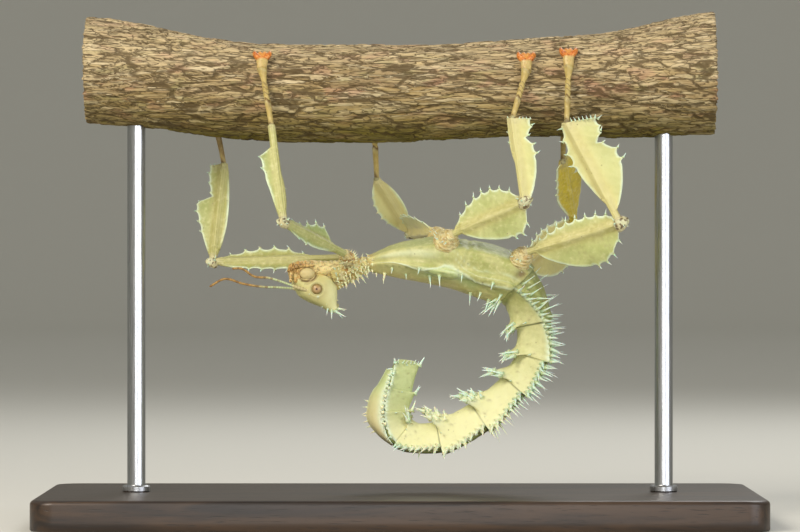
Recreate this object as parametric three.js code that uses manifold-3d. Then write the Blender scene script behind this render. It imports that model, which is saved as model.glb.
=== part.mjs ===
// A spiny stick insect (a nearly grown female) hanging upside down from a cut
// length of branch, on a display stand. Millimetres, +Z up. The head is toward
// -X and the insect's right side is toward -Y. The origin is the middle of the
// underside of the stand's base. The insect hangs, so its back is its lower side.
import * as THREE from 'three';
import { LoftGeometry } from 'three/addons/geometries/LoftGeometry.js';
import { mergeVertices } from 'three/addons/utils/BufferGeometryUtils.js';
import Module from 'manifold-3d';

const { CatmullRomCurve3, QuadraticBezierCurve3, Vector2, Vector3 } = THREE;
const wasm = await Module();
wasm.setup();

// ---- Driving dimensions ----------------------------------------------------

const GAP = 0.3; // clear space between neighbouring sub-parts
const RIGHT = -1; // side factor: the right side lies toward -Y
const LEFT = 1;

// Display stand
const BASE = { length: 118, depth: 56, height: 5, corner: 4, bevel: 0.6 };
const ROD = { radius: 1.5, left: -43.5, right: 43.5, inset: 3, sides: 12 };

// Perch: evenly spaced values from its head end to its tail end
const PERCH = {
  length: 103,
  height: [74.6, 71.75, 70.5, 71.2, 71.95, 73.9],
  radius: [9.1, 8.3, 8.35, 8.1, 8.7, 10.4],
  sides: 18,
  rings: 13,
  lump: 0.18,
};

// Trunk: one row for each seam, or for a station between two seams. The crest is
// the keel of the back, the margin the sharp edge of each side, and the belly the
// flat underside; their distances are from the trunk's axis, the margin's toward
// the belly. Roll turns the right margin down, in degrees.
const TRUNK = [
  { x: -11.2, z: 40.5, width: 1.3, crest: 1.6, margin: 0.0, belly: 1.2, roll: 8 }, // neck
  { x: -7.8, z: 41.8, width: 2.0, crest: 1.9, margin: 0.0, belly: 1.6, roll: 10 },
  { x: -5.3, z: 42.6, width: 1.3, crest: 1.5, margin: 0.0, belly: 1.2, roll: 12 }, // waist
  { x: 0.0, z: 43.3, width: 3.0, crest: 3.2, margin: 0.0, belly: 2.6, roll: 15 },
  { x: 6.0, z: 42.6, width: 4.4, crest: 3.5, margin: 0.0, belly: 4.3, roll: 15 },
  { x: 10.2, z: 42.1, width: 4.5, crest: 4.1, margin: 0.0, belly: 4.2, roll: 15 }, // middle seam
  { x: 14.2, z: 41.1, width: 4.8, crest: 4.5, margin: 0.0, belly: 4.5, roll: 15 },
  { x: 18.9, z: 38.7, width: 4.8, crest: 4.2, margin: 0.8, belly: 4.4, roll: 12 }, // hind seam
  { x: 21.6, z: 32.6, width: 4.1, crest: 3.1, margin: 2.5, belly: 3.5, roll: 5 },
  { x: 21.5, z: 27.2, width: 3.9, crest: 2.9, margin: 2.6, belly: 3.3, roll: 0 },
  { x: 18.6, z: 22.6, width: 3.8, crest: 2.7, margin: 2.3, belly: 3.0, roll: 0 },
  { x: 12.9, z: 17.7, width: 3.8, crest: 2.8, margin: 2.5, belly: 3.4, roll: 0 },
  { x: 6.3, z: 14.4, width: 3.5, crest: 2.7, margin: 2.3, belly: 3.2, roll: 0 },
  { x: 0.6, z: 15.0, width: 3.1, crest: 2.0, margin: 2.1, belly: 2.9, roll: 0 },
  { x: -0.4, z: 18.5, width: 2.7, crest: 2.3, margin: 1.9, belly: 2.4, roll: 0 },
  { x: 0.2, z: 21.9, width: 2.2, crest: 2.3, margin: 2.0, belly: 2.4, roll: 0 },
  { x: 0.9, z: 25.4, width: 1.5, crest: 2.1, margin: 1.8, belly: 2.1, roll: 0 }, // tail tip
];

// Thorax: the rows that each length runs between, and its thorns, one on each side:
// row, corner of the section (0 is the crest, 3 the margin), length, and an aim that
// mixes toward the back, outward and to the tail
const THORAX = [
  { name: 'prothorax', from: 0, to: 2, rings: 6, finish: 'ochre', thorns: [
    { row: 0.8, corner: 1, length: 1.9, aim: [1, 0.4, 0.3] },
    { row: 1.3, corner: 1, length: 1.9, aim: [1, 0.4, 0.3] },
    { row: 1.75, corner: 1, length: 1.9, aim: [1, 0.4, 0.3] },
  ] },
  { name: 'mesothorax', from: 2, to: 5, rings: 8, finish: 'cream', thorns: [
    { row: 2.5, corner: 1, length: 1.9, aim: [1, 0.1, -0.3] },
    { row: 3.55, corner: 3, length: 1.2, aim: [1, 0.2, 0] },
    { row: 3.85, corner: 2, length: 2.2, aim: [1, 0.3, 0.5] },
  ] },
  { name: 'metathorax', from: 5, to: 7, rings: 6, finish: 'cream', thorns: [
    { row: 5.6, corner: 1, length: 2.0, aim: [1, 0.2, 0.2] },
    { row: 6.4, corner: 1, length: 2.8, aim: [1, 0.4, 0] },
    { row: 6.6, corner: 1, length: 2.8, aim: [1, 0.2, -0.4] },
    { row: 6.3, corner: 3, length: 1.4, aim: [1, 0.5, 0] },
  ] },
];
const NECK = THORAX[0];

// Abdomen: each length starts narrow and flares to its hind edge. Its thorns stand on
// the crest and along the margin, at these parts of its length, and shrink by a share
// from one length to the next. The curled lengths' crest thorns lean forward.
const ABDOMEN = { first: 7, lengths: 9, straight: 5, rings: 4, narrow: 0.88, flare: 0.17 };
const CREST_THORN = { at: 0.8, length: 2.3, out: 0.25, lean: 0.5, curledLean: -0.1 };
const MARGIN_THORN = { at: [0.18, 0.5, 0.84], length: 2.5, aim: [-0.8, 0.6, 0.15] };
const PLATE_THORN = { at: [0.8], length: 2.5, aim: [0.2, 1, 0.3] };
const THORN_SHRINK = 0.05;

// The keeled plate under the tail: its depth below the belly along its length, and
// the chine between its edge and its keel as parts of its width and depth
const OPERCULUM = {
  from: 12.95, to: 15.8, rings: 6, depth: [0.6, 1.8, 2.0, 1.3, 0.4], width: 0.85, clear: 1.1,
  chine: { out: 0.75, down: 0.6 },
};

// Head: a tall cone from the mouth to the spiny crown
const HEAD = { mouth: [-16.5, 40.5], crown: [-10.9, 35.2], rings: 7, sides: 12 };
const HEAD_SHAPE = {
  face: [1.2, 2.2, 2.0, 1.6, 0.7], // mouth to crown, axis to face
  nape: [1.9, 2.6, 3.3, 2.7, 0.9], // axis to nape
  width: [1.5, 2.0, 2.15, 1.8, 0.9], // half width
};
const EYE = { x: -13.7, z: 38.4, out: 1.7, radius: 1.08 };
// Crown thorns: place from mouth to crown, angle from the face, length; those off the
// middle line are mirrored
const CROWN_THORNS = [[0.97, 0, 2.0], [0.97, 60, 2.2], [0.97, 120, 2.5], [0.97, 180, 2.3], [0.86, 35, 1.2]];
const CROWN_LEAN = 0.9; // how much they lean along the head

// Labium and maxillae: a curved bar under the mouth and along the throat, as [x, z],
// with a pair of palps in front, as [x, out, z]
const MOUTHPARTS = {
  path: [[-17.5, 39.7], [-17.4, 41.6], [-15.2, 42.3], [-10.6, 42.4]],
  girth: [0.9, 1.4, 1.6, 1.6, 1.3],
  shape: { rings: 6, sides: 7, flat: 0.9 },
  palp: { root: [-18.1, 0.75, 41.4], aim: [-0.6, 0.4, -0.9], length: 1.5, radius: 0.42 },
};

// Antennae: the route of each as [x, out, z]
const ANTENNA = { root: 0.36, tip: 0.26, rings: 9, sides: 5 };
const ANTENNAE = [
  { name: 'antenna_right', side: RIGHT, route: [[-15.1, 1.4, 38.6], [-17.3, 1.7, 39.2],
    [-21.7, 2.3, 40.3], [-23.9, 2.6, 40.6], [-26.0, 3.0, 42.0], [-27.6, 3.1, 41.8]] },
  { name: 'antenna_left', side: LEFT, route: [[-15.1, 1.4, 38.4], [-17.7, 1.7, 38.5],
    [-22.8, 2.3, 38.8], [-26.8, 3.0, 39.4], [-29.6, 3.2, 40.1], [-31.9, 3.4, 38.8]] },
];

// Legs: joint places on each side as [x, distance out from the middle, z]; grip is
// the foot's place on the perch, with its angle up from level; twist turns the
// femur's and the tibia's lobes out of the plane in which the leg folds, in degrees
const LEGS = [
  { name: 'fore', side: RIGHT, coxa: [-7.7, 0.9, 42.4], hip: [-9.0, 2.7, 44.2], twist: [0, -45],
    knee: [-18.7, 17.0, 49.3], ankle: [-20.9, 10.0, 65.0], grip: { x: -22.5, angle: 34 } },
  { name: 'fore', side: LEFT, coxa: [-7.7, 0.9, 42.4], hip: [-9.6, 2.9, 43.6], twist: [25, 0],
    knee: [-31.1, 6.3, 42.9], ankle: [-29.5, 10.4, 59.3], grip: { x: -32.0, angle: -13 } },
  { name: 'mid', side: RIGHT, coxa: [7.0, 2.2, 45.2], hip: [8.4, 4.4, 47.4], twist: [0, 0],
    knee: [20.2, 9.4, 52.7], ankle: [18.3, 10.3, 66.3], grip: { x: 20.6, angle: 30 } },
  { name: 'mid', side: LEFT, coxa: [7.0, 2.2, 45.4], hip: [6.0, 4.6, 47.9], twist: [0, 70],
    knee: [1.7, 17.5, 47.7], ankle: [-3.9, 10.4, 56.8], grip: { x: -4.5, angle: -30 } },
  { name: 'hind', side: RIGHT, coxa: [19.2, 2.4, 42.4], hip: [20.6, 4.6, 44.5], twist: [0, 0],
    knee: [35.8, 10.0, 49.2], ankle: [27.1, 10.6, 65.6], grip: { x: 27.5, angle: 32 } },
  { name: 'hind', side: LEFT, coxa: [18.2, 2.4, 41.2], hip: [19.4, 5.0, 41.4], twist: [-35, 0],
    knee: [29.4, 16.7, 49.2], ankle: [27.0, 3.0, 59.5], grip: { x: 27.6, angle: -20 } },
];

// Leaf-like lobes of the long leg segments: each lobe's widest reach from the
// segment's axis, then where it starts, peaks and ends along the segment. An end
// past 1 leaves it cut square at the joint. Inner is the side toward the folded leg.
const LOBES = {
  fore: {
    femur: { teeth: 5, inner: [[2.4, 0.15, 0.55, 0.92]], outer: [[2.2, 0.2, 0.6, 0.97]] },
    tibia: {
      teeth: 5,
      inner: [[1.2, 0.08, 0.4, 0.95]],
      outer: [[4.1, 0.05, 0.5, 0.75], [2, 0.6, 0.85, 1.1]],
    },
  },
  mid: {
    femur: { teeth: 6, inner: [[4.2, 0.04, 0.58, 1.0]], outer: [[4.7, 0.1, 0.78, 0.99]] },
    tibia: {
      teeth: 5,
      inner: [[1.2, 0.25, 0.8, 1.5]],
      outer: [[2.5, 0.05, 0.5, 0.78], [2.2, 0.6, 0.86, 1.3]],
    },
  },
  hind: {
    femur: { teeth: 6, inner: [[2.7, 0.04, 0.6, 1.1]], outer: [[5.7, 0.08, 0.66, 0.98]] },
    tibia: {
      teeth: 6,
      inner: [[2.7, 0.12, 0.62, 1.05]],
      outer: [[4.4, 0.05, 0.55, 0.75], [3.5, 0.55, 0.85, 1.08]],
    },
  },
};
// The rib's half thickness and its corner's share of it, the lobes' half thickness,
// how far a tooth stands out, how far the femur runs past the knee, and the least
// sine of a knee's bend that a clearance is worked out for
const LIMB = { core: 0.62, corner: 0.5, edge: 0.27, tooth: 0.55, past: 0.45, leastBend: 0.5 };
// Tarsus: its radius grows to the foot and swells at each joint; it arches clear of
// the bark and meets it from a low angle
const TARSUS = {
  start: 0.34, end: 0.58, rings: 8, sides: 6, joints: 5, swell: 0.1, clear: 0.95, arch: 0.6, low: -45,
};
// Foot: a pad whose middle stands clear of the bark, its heel some degrees behind
const FOOT = { length: 1.5, width: 1.5, depth: 0.42, clear: 0.82, heel: 12 };
const CLAW = { length: 1.5, radius: 0.3, root: 0.3, ahead: 0.45 };
// Coxae: the radius at the body, in the middle and at the hip
const COXA = {
  fore: { root: 1.0, middle: 1.25, end: 0.8 },
  mid: { root: 1.8, middle: 2.1, end: 1.0 },
  hind: { root: 1.6, middle: 1.9, end: 1.0 },
};
const SPINE = { radius: 0.36, sink: 0.35, sides: 3 };

// ---- Colours and finishes ----------------------------------------------------

const FINISHES = {
  cream: [0xd9dba6, 0.62, 0],
  pale: [0xd2ddb4, 0.62, 0],
  ochre: [0xc9a15c, 0.7, 0],
  amber: [0xb9923f, 0.6, 0],
  foot: [0xd9682b, 0.5, 0],
  eye: [0xa9796a, 0.25, 0],
  bark: [0x7d6a57, 0.95, 0],
  wood: [0x2d2622, 0.45, 0],
  steel: [0xb9bcc0, 0.3, 1],
};

function material(finish) {
  const [color, roughness, metalness] = FINISHES[finish];
  return new THREE.MeshStandardMaterial({ color, roughness, metalness });
}

// ---- Solids ------------------------------------------------------------------

function solidOf(geometry) {
  const bare = new THREE.BufferGeometry();
  bare.setAttribute('position', geometry.attributes.position);
  bare.setIndex(geometry.index);
  const merged = mergeVertices(bare);
  const vertProperties = new Float32Array(merged.attributes.position.array);
  const triVerts = new Uint32Array(merged.index.array);
  return new wasm.Manifold(new wasm.Mesh({ numProp: 3, vertProperties, triVerts }));
}

function geometryOf(solid) {
  const mesh = solid.getMesh();
  const geometry = new THREE.BufferGeometry();
  geometry.setAttribute('position', new THREE.BufferAttribute(mesh.vertProperties, 3));
  geometry.setIndex(new THREE.BufferAttribute(mesh.triVerts, 1));
  geometry.computeVertexNormals();
  return geometry;
}

function middle(points) {
  const sum = points.reduce((total, point) => total.add(point), new Vector3());
  return sum.divideScalar(points.length);
}

// Whether a ring's corners turn counterclockwise as seen from the next ring.
function turnsAhead(ring, next) {
  const center = middle(ring);
  const normal = new Vector3();
  ring.forEach((point, i) => {
    const following = ring[(i + 1) % ring.length];
    normal.add(point.clone().sub(center).cross(following.clone().sub(center)));
  });
  return normal.dot(middle(next).sub(center)) > 0;
}

// A closed solid skinned through rings of equal counts that turn either way.
function loft(rings) {
  const wound = turnsAhead(rings[0], rings[1]) ? rings : rings.map((ring) => [...ring].reverse());
  return solidOf(new LoftGeometry(wound, { capStart: true, capEnd: true }));
}

// A round or oval bar along a curve; radii are read from 0 to 1 along it.
function bar(curve, radii, { rings, sides, flat = 1, across = new Vector3(0, 1, 0) }) {
  const sections = [];
  for (let i = 0; i < rings; i += 1) {
    const t = i / (rings - 1);
    const [center, ahead] = [curve.getPoint(t), curve.getTangent(t)];
    const wide = across.clone().addScaledVector(ahead, -across.dot(ahead)).normalize();
    const deep = new Vector3().crossVectors(ahead, wide);
    const ring = [];
    for (let j = 0; j < sides; j += 1) {
      const angle = ((j + 0.5) / sides) * 2 * Math.PI;
      const point = center.clone().addScaledVector(wide, radii(t) * Math.cos(angle));
      ring.push(point.addScaledVector(deep, radii(t) * flat * Math.sin(angle)));
    }
    sections.push(ring);
  }
  return loft(sections);
}

// A thorn with its root sunk below the surface that it grows from.
function thorn(root, direction, length, radius = SPINE.radius) {
  const height = length + SPINE.sink;
  const geometry = new THREE.ConeGeometry(radius, height, SPINE.sides);
  geometry.translate(0, height / 2 - SPINE.sink, 0);
  const aim = direction.clone().normalize();
  geometry.applyQuaternion(new THREE.Quaternion().setFromUnitVectors(new Vector3(0, 1, 0), aim));
  geometry.translate(root.x, root.y, root.z);
  return solidOf(geometry);
}

// A place or direction given as [x, distance out from the middle, z], on one side.
const placed = ([x, out, z], side) => new Vector3(x, side * out, z);

const joined = (solid, extras) => extras.reduce((sum, extra) => sum.add(extra), solid);
const cut = (solid, tools) => tools.reduce((rest, tool) => rest.subtract(tool), solid);

// The largest piece, where a cut leaves a sliver beside it.
function largest(solid) {
  const pieces = solid.decompose();
  return pieces.reduce((best, piece) => (piece.volume() > best.volume() ? piece : best));
}

// A smooth function of 0 to 1 through evenly spaced values.
function through(values) {
  const curve = new THREE.SplineCurve(values.map((value, i) => new Vector2(i, value)));
  return (t) => curve.getPoint(THREE.MathUtils.clamp(t, 0, 1)).y;
}

const model = new THREE.Group();

function add(name, solid, finish) {
  const mesh = new THREE.Mesh(geometryOf(solid), material(finish));
  mesh.name = name;
  model.add(mesh);
}

// ---- Perch and stand -----------------------------------------------------------

const perchHeight = through(PERCH.height);
const perchRadius = through(PERCH.radius);

// The place on the perch's bark at x, at an angle up from level on one side.
function perchPoint(x, side, degrees, clear = 0) {
  const t = x / PERCH.length + 0.5;
  const angle = THREE.MathUtils.degToRad(degrees);
  const lump = PERCH.lump * Math.sin(3 * angle + side + x / 5);
  const reach = perchRadius(t) + lump + clear;
  return new Vector3(x, side * reach * Math.cos(angle), perchHeight(t) + reach * Math.sin(angle));
}

// A rod from the base into the perch, or its hole where it is grown.
function rodSolid(x, grow) {
  const top = perchPoint(x, RIGHT, -90).z + ROD.inset + grow;
  const radius = ROD.radius + grow;
  const geometry = new THREE.CylinderGeometry(radius, radius, top - BASE.height, ROD.sides);
  geometry.rotateX(Math.PI / 2);
  geometry.translate(x, 0, (top + BASE.height) / 2);
  return solidOf(geometry);
}

function buildPerch() {
  const rings = [];
  for (let i = 0; i < PERCH.rings; i += 1) {
    const x = (i / (PERCH.rings - 1) - 0.5) * PERCH.length;
    const ring = [];
    for (let j = 0; j < PERCH.sides; j += 1) {
      ring.push(perchPoint(x, RIGHT, (j * 360) / PERCH.sides));
    }
    rings.push(ring);
  }
  add('perch', cut(loft(rings), [rodSolid(ROD.left, GAP), rodSolid(ROD.right, GAP)]), 'bark');
}

function buildStand() {
  const [halfLength, halfDepth] = [BASE.length / 2 - BASE.bevel, BASE.depth / 2 - BASE.bevel];
  const outline = new THREE.Shape();
  for (let quarter = 0; quarter < 4; quarter += 1) {
    const turn = (quarter * Math.PI) / 2;
    const acrossX = Math.sign(Math.cos(turn + Math.PI / 4));
    const acrossY = Math.sign(Math.sin(turn + Math.PI / 4));
    const x = acrossX * (halfLength - BASE.corner);
    const y = acrossY * (halfDepth - BASE.corner);
    outline.absarc(x, y, BASE.corner, turn, turn + Math.PI / 2, false);
  }
  const plate = new THREE.ExtrudeGeometry(outline, {
    depth: BASE.height - BASE.bevel,
    bevelThickness: BASE.bevel,
    bevelSize: BASE.bevel,
    bevelSegments: 1,
    curveSegments: 3,
  });
  const solid = solidOf(plate);
  const belowFloor = new THREE.BoxGeometry(2 * BASE.length, 2 * BASE.depth, BASE.height);
  belowFloor.translate(0, 0, -BASE.height / 2);
  add('stand_base', cut(solid, [solidOf(belowFloor)]), 'wood');
  add('stand_rod_left', rodSolid(ROD.left, 0), 'steel');
  add('stand_rod_right', rodSolid(ROD.right, 0), 'steel');
}

// ---- Trunk -----------------------------------------------------------------------

const trunkAxis = new CatmullRomCurve3(TRUNK.map(({ x, z }) => new Vector3(x, 0, z)));
const trunkSize = {};
for (const key of ['width', 'crest', 'margin', 'belly', 'roll']) {
  trunkSize[key] = through(TRUNK.map((row) => row[key]));
}

// The trunk's local axes at a row number: ahead to the tail, back out of the
// crest, and out to one side, turned by the roll.
function trunkFrame(row, side) {
  const t = THREE.MathUtils.clamp(row / (TRUNK.length - 1), 0, 1);
  const ahead = trunkAxis.getTangent(t);
  const up = new Vector3(ahead.z, 0, -ahead.x);
  const roll = THREE.MathUtils.degToRad(trunkSize.roll(t));
  const level = new Vector3(0, RIGHT, 0);
  const right = level.clone().multiplyScalar(Math.cos(roll)).addScaledVector(up, Math.sin(roll));
  const back = up.clone().multiplyScalar(Math.cos(roll)).addScaledVector(level, -Math.sin(roll));
  const out = right.multiplyScalar(side * RIGHT);
  return { t, ahead, back, out, center: trunkAxis.getPoint(t) };
}

// The half outline of the trunk's section, from the crest to the middle of the
// belly, as [part of the half width, height toward the back].
function halfSection(t, scale, grow) {
  const size = (key) => trunkSize[key](t) * scale + grow;
  const [width, belly] = [size('width'), size('belly')];
  const crest = trunkSize.crest(t) * scale * scale + grow;
  const margin = trunkSize.margin(t) * scale;
  const drop = belly - margin;
  return [
    [0, crest],
    [0.34 * width, crest * 0.78 - margin * 0.08],
    [0.7 * width, crest * 0.36 - margin * 0.5],
    [width, -margin],
    [0.88 * width, -margin - 0.3 * drop],
    [0.78 * width, -margin - 0.85 * drop],
    [0.4 * width, -belly],
    [0, -belly * 1.04],
  ];
}

function trunkRing(row, scale = 1, grow = 0) {
  const right = trunkFrame(row, RIGHT);
  const half = halfSection(right.t, scale, grow);
  const place = (out, height) => right.center.clone()
    .addScaledVector(right.out, out)
    .addScaledVector(right.back, height);
  const down = half.map(([out, height]) => place(out, height));
  const up = half.slice(1, -1).reverse().map(([out, height]) => place(-out, height));
  return [...down, ...up];
}

// A point of the trunk's surface: corner 0 is the crest, 3 the margin.
function trunkPoint(row, side, corner, scale = 1) {
  const { t, out, back, center } = trunkFrame(row, side);
  const [reach, height] = halfSection(t, scale, 0)[corner];
  return center.clone().addScaledVector(out, reach).addScaledVector(back, height);
}

// The trunk's length in millimetres per row, near a row.
function rowLength(row) {
  const last = TRUNK.length - 1;
  const step = 0.05;
  const from = trunkAxis.getPoint(THREE.MathUtils.clamp(row - step, 0, last) / last);
  const to = trunkAxis.getPoint(THREE.MathUtils.clamp(row + step, 0, last) / last);
  return from.distanceTo(to) / (2 * step);
}

// A length of the trunk between two rows, clear of its neighbours by the gap.
function trunkLength({ from, to, rings }, scaleAt, grow = 0) {
  const start = from + (GAP / 2 - grow) / rowLength(from + 0.1);
  const end = to - (GAP / 2 - grow) / rowLength(to - 0.1);
  const sections = [];
  for (let i = 0; i < rings; i += 1) {
    const along = i / (rings - 1);
    sections.push(trunkRing(THREE.MathUtils.lerp(start, end, along), scaleAt(along), grow));
  }
  return loft(sections);
}

// A thorn on the trunk. Its aim is a mix of toward the back, out and to the tail.
function trunkThorn(row, side, corner, length, [back, out, ahead], scale = 1) {
  const frame = trunkFrame(row, side);
  const aim = frame.back.clone().multiplyScalar(back)
    .addScaledVector(frame.out, out)
    .addScaledVector(frame.ahead, ahead);
  return thorn(trunkPoint(row, side, corner, scale), aim, length);
}

const steady = () => 1;
const flared = (along) => ABDOMEN.narrow + ABDOMEN.flare * along * along;

// The space around the thorax that the legs keep clear of.
const thoraxSpace = trunkLength({ from: 0, to: 8, rings: 24 }, steady, GAP);

function buildThorax() {
  for (const length of THORAX) {
    const thorns = [];
    for (const side of [RIGHT, LEFT]) {
      for (const { row, corner, length: reach, aim } of length.thorns) {
        thorns.push(trunkThorn(row, side, corner, reach, aim));
      }
    }
    add(length.name, joined(trunkLength(length, steady), thorns), length.finish);
  }
}

function buildAbdomen() {
  for (let i = 0; i < ABDOMEN.lengths; i += 1) {
    const from = ABDOMEN.first + i;
    const length = trunkLength({ from, to: from + 1, rings: ABDOMEN.rings }, flared);
    const size = 1 - THORN_SHRINK * i;
    const lean = i < ABDOMEN.straight ? CREST_THORN.lean : CREST_THORN.curledLean;
    const crestAim = [1, CREST_THORN.out, lean];
    const crestScale = flared(CREST_THORN.at);
    const edge = from + 1 > OPERCULUM.from ? PLATE_THORN : MARGIN_THORN;
    const thorns = [];
    for (const side of [RIGHT, LEFT]) {
      const crestRow = from + CREST_THORN.at;
      thorns.push(trunkThorn(crestRow, side, 1, CREST_THORN.length * size, crestAim, crestScale));
      for (const at of edge.at) {
        thorns.push(trunkThorn(from + at, side, 3, edge.length * size, edge.aim, flared(at)));
      }
    }
    add(`abdomen_${i + 1}`, joined(length, thorns), 'cream');
  }
}

// The boat-shaped plate under the end of the tail.
function buildOperculum() {
  const depthAt = through(OPERCULUM.depth);
  const { from, to, chine } = OPERCULUM;
  const rings = [];
  for (let i = 0; i < OPERCULUM.rings; i += 1) {
    const along = i / (OPERCULUM.rings - 1);
    const { t, center, back, out } = trunkFrame(THREE.MathUtils.lerp(from, to, along), RIGHT);
    const top = trunkSize.belly(t) * OPERCULUM.clear + GAP;
    const wide = trunkSize.width(t) * OPERCULUM.width;
    const deep = depthAt(along);
    const half = [[wide, top], [wide * chine.out, top + deep * chine.down], [0, top + deep]];
    const place = ([reach, drop]) => center.clone().addScaledVector(out, reach).addScaledVector(back, -drop);
    const otherHalf = half.slice(0, 2).reverse().map(([reach, drop]) => [-reach, drop]);
    rings.push([...half, ...otherHalf].map(place));
  }
  const tail = [];
  for (let row = Math.floor(from) - 1; row < TRUNK.length - 1; row += 1) {
    tail.push(trunkLength({ from: row, to: row + 1, rings: ABDOMEN.rings }, flared, GAP));
  }
  add('operculum', largest(cut(loft(rings), tail)), 'cream');
}

// ---- Head ------------------------------------------------------------------------

const headSize = {};
for (const key of ['face', 'nape', 'width']) {
  headSize[key] = through(HEAD_SHAPE[key]);
}
const mouth = new Vector3(HEAD.mouth[0], 0, HEAD.mouth[1]);
const crown = new Vector3(HEAD.crown[0], 0, HEAD.crown[1]);
const crownward = crown.clone().sub(mouth).normalize();
const faceward = new Vector3(crownward.z, 0, -crownward.x);

// A place on the head's surface: t from mouth to crown, angle 0 on the face and
// 90 degrees on the right side.
function headPoint(t, degrees, grow = 0) {
  const angle = THREE.MathUtils.degToRad(degrees);
  const depth = Math.cos(angle) > 0 ? headSize.face(t) : headSize.nape(t);
  return mouth.clone().lerp(crown, t)
    .addScaledVector(faceward, (depth + grow) * Math.cos(angle))
    .add(new Vector3(0, RIGHT * (headSize.width(t) + grow) * Math.sin(angle), 0));
}

function headSolid(grow = 0) {
  const rings = [];
  const beyond = grow / mouth.distanceTo(crown);
  for (let i = 0; i < HEAD.rings; i += 1) {
    const t = THREE.MathUtils.lerp(-beyond, 1 + beyond, i / (HEAD.rings - 1));
    const ring = [];
    for (let j = 0; j < HEAD.sides; j += 1) {
      ring.push(headPoint(t, (j * 360) / HEAD.sides, grow));
    }
    rings.push(ring);
  }
  return loft(rings);
}

function eyeSolid(side, grow) {
  const geometry = new THREE.IcosahedronGeometry(EYE.radius + grow, 1);
  geometry.translate(EYE.x, side * EYE.out, EYE.z);
  return solidOf(geometry);
}

function crownThorns() {
  const thorns = [];
  for (const [t, degrees, length] of CROWN_THORNS) {
    const mirrored = degrees % 180 === 0 ? [degrees] : [degrees, -degrees];
    for (const angle of mirrored) {
      const root = headPoint(t, angle);
      const away = root.clone().sub(mouth.clone().lerp(crown, t)).normalize();
      thorns.push(thorn(root, away.addScaledVector(crownward, CROWN_LEAN), length));
    }
  }
  return thorns;
}

function mouthpartsSolid() {
  const { path, girth, shape, palp } = MOUTHPARTS;
  const throat = new CatmullRomCurve3(path.map(([x, z]) => new Vector3(x, 0, z)));
  const palps = [RIGHT, LEFT].map((side) => (
    thorn(placed(palp.root, side), placed(palp.aim, side), palp.length, palp.radius)
  ));
  return joined(bar(throat, through(girth), shape), palps);
}

function buildHead() {
  const sockets = [eyeSolid(RIGHT, GAP), eyeSolid(LEFT, GAP)];
  const neck = trunkLength(NECK, steady, GAP);
  const head = joined(headSolid(), crownThorns());
  add('head', largest(cut(head, [...sockets, neck])), 'cream');
  add('eye_right', eyeSolid(RIGHT, 0), 'eye');
  add('eye_left', eyeSolid(LEFT, 0), 'eye');
  const clearance = headSolid(GAP);
  add('mouthparts', largest(cut(mouthpartsSolid(), [clearance, neck, ...sockets])), 'ochre');
  const radius = (t) => THREE.MathUtils.lerp(ANTENNA.root, ANTENNA.tip, t);
  for (const { name, side, route } of ANTENNAE) {
    const path = new CatmullRomCurve3(route.map((point) => placed(point, side)));
    add(name, largest(cut(bar(path, radius, ANTENNA), [clearance, ...sockets])), 'pale');
  }
}

// ---- Legs ------------------------------------------------------------------------

// How far a side's lobes reach at t along a segment.
function lobeReach(lobes, t) {
  const reaches = lobes.map(([width, start, peak, end]) => {
    const part = t < peak ? (t - start) / (peak - start) : (end - t) / (end - peak);
    return width * Math.sin((Math.PI / 2) * Math.max(part, 0)) ** 0.75;
  });
  return Math.max(...reaches);
}

// A leaf-shaped leg segment: a stout rib with a thin toothed lobe on each side,
// grown on every face where it is used to cut a neighbour clear.
function blade(from, to, inward, twist, lobes, grow = 0) {
  const along = to.clone().sub(from).normalize();
  const inner = inward.clone().addScaledVector(along, -inward.dot(along)).normalize();
  inner.applyAxisAngle(along, THREE.MathUtils.degToRad(twist));
  const side = new Vector3().crossVectors(along, inner);
  const stations = 2 * lobes.teeth + 2;
  const rings = [];
  for (let i = 0; i <= stations; i += 1) {
    const t = i / stations;
    const tooth = i % 2 === 1 ? LIMB.tooth : 0;
    const reach = (lobe) => {
      const width = lobeReach(lobe, t);
      return Math.max(width > LIMB.core ? width + tooth : width, LIMB.core) + grow;
    };
    const center = from.clone().lerp(to, t).addScaledVector(along, grow * (2 * t - 1));
    const place = (across, deep) => (
      center.clone().addScaledVector(inner, across).addScaledVector(side, deep)
    );
    const [core, edge] = [LIMB.core + grow, LIMB.edge + grow];
    const [near, far] = [reach(lobes.inner), reach(lobes.outer)];
    rings.push([
      place(near, edge),
      place(core * LIMB.corner, core),
      place(-core * LIMB.corner, core),
      place(-far, edge),
      place(-far, -edge),
      place(-core * LIMB.corner, -core),
      place(core * LIMB.corner, -core),
      place(near, -edge),
    ]);
  }
  return loft(rings);
}

function toward(from, to, distance) {
  return from.clone().addScaledVector(to.clone().sub(from).normalize(), distance);
}

// How far a segment starts from its joint to clear the one before it.
function clearOfJoint(before, joint, after) {
  const bend = before.clone().sub(joint).angleTo(after.clone().sub(joint));
  return (LIMB.core * (1 + Math.abs(Math.cos(bend))) + GAP) / Math.max(Math.sin(bend), LIMB.leastBend);
}

function coxaSolid(root, hip, { root: rootRadius, middle, end }, grow = 0) {
  const girth = through([rootRadius + grow, middle + grow, end + grow]);
  return bar(new THREE.LineCurve3(root, hip), girth, { rings: 4, sides: 8, across: new Vector3(1, 0, 0) });
}

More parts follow.
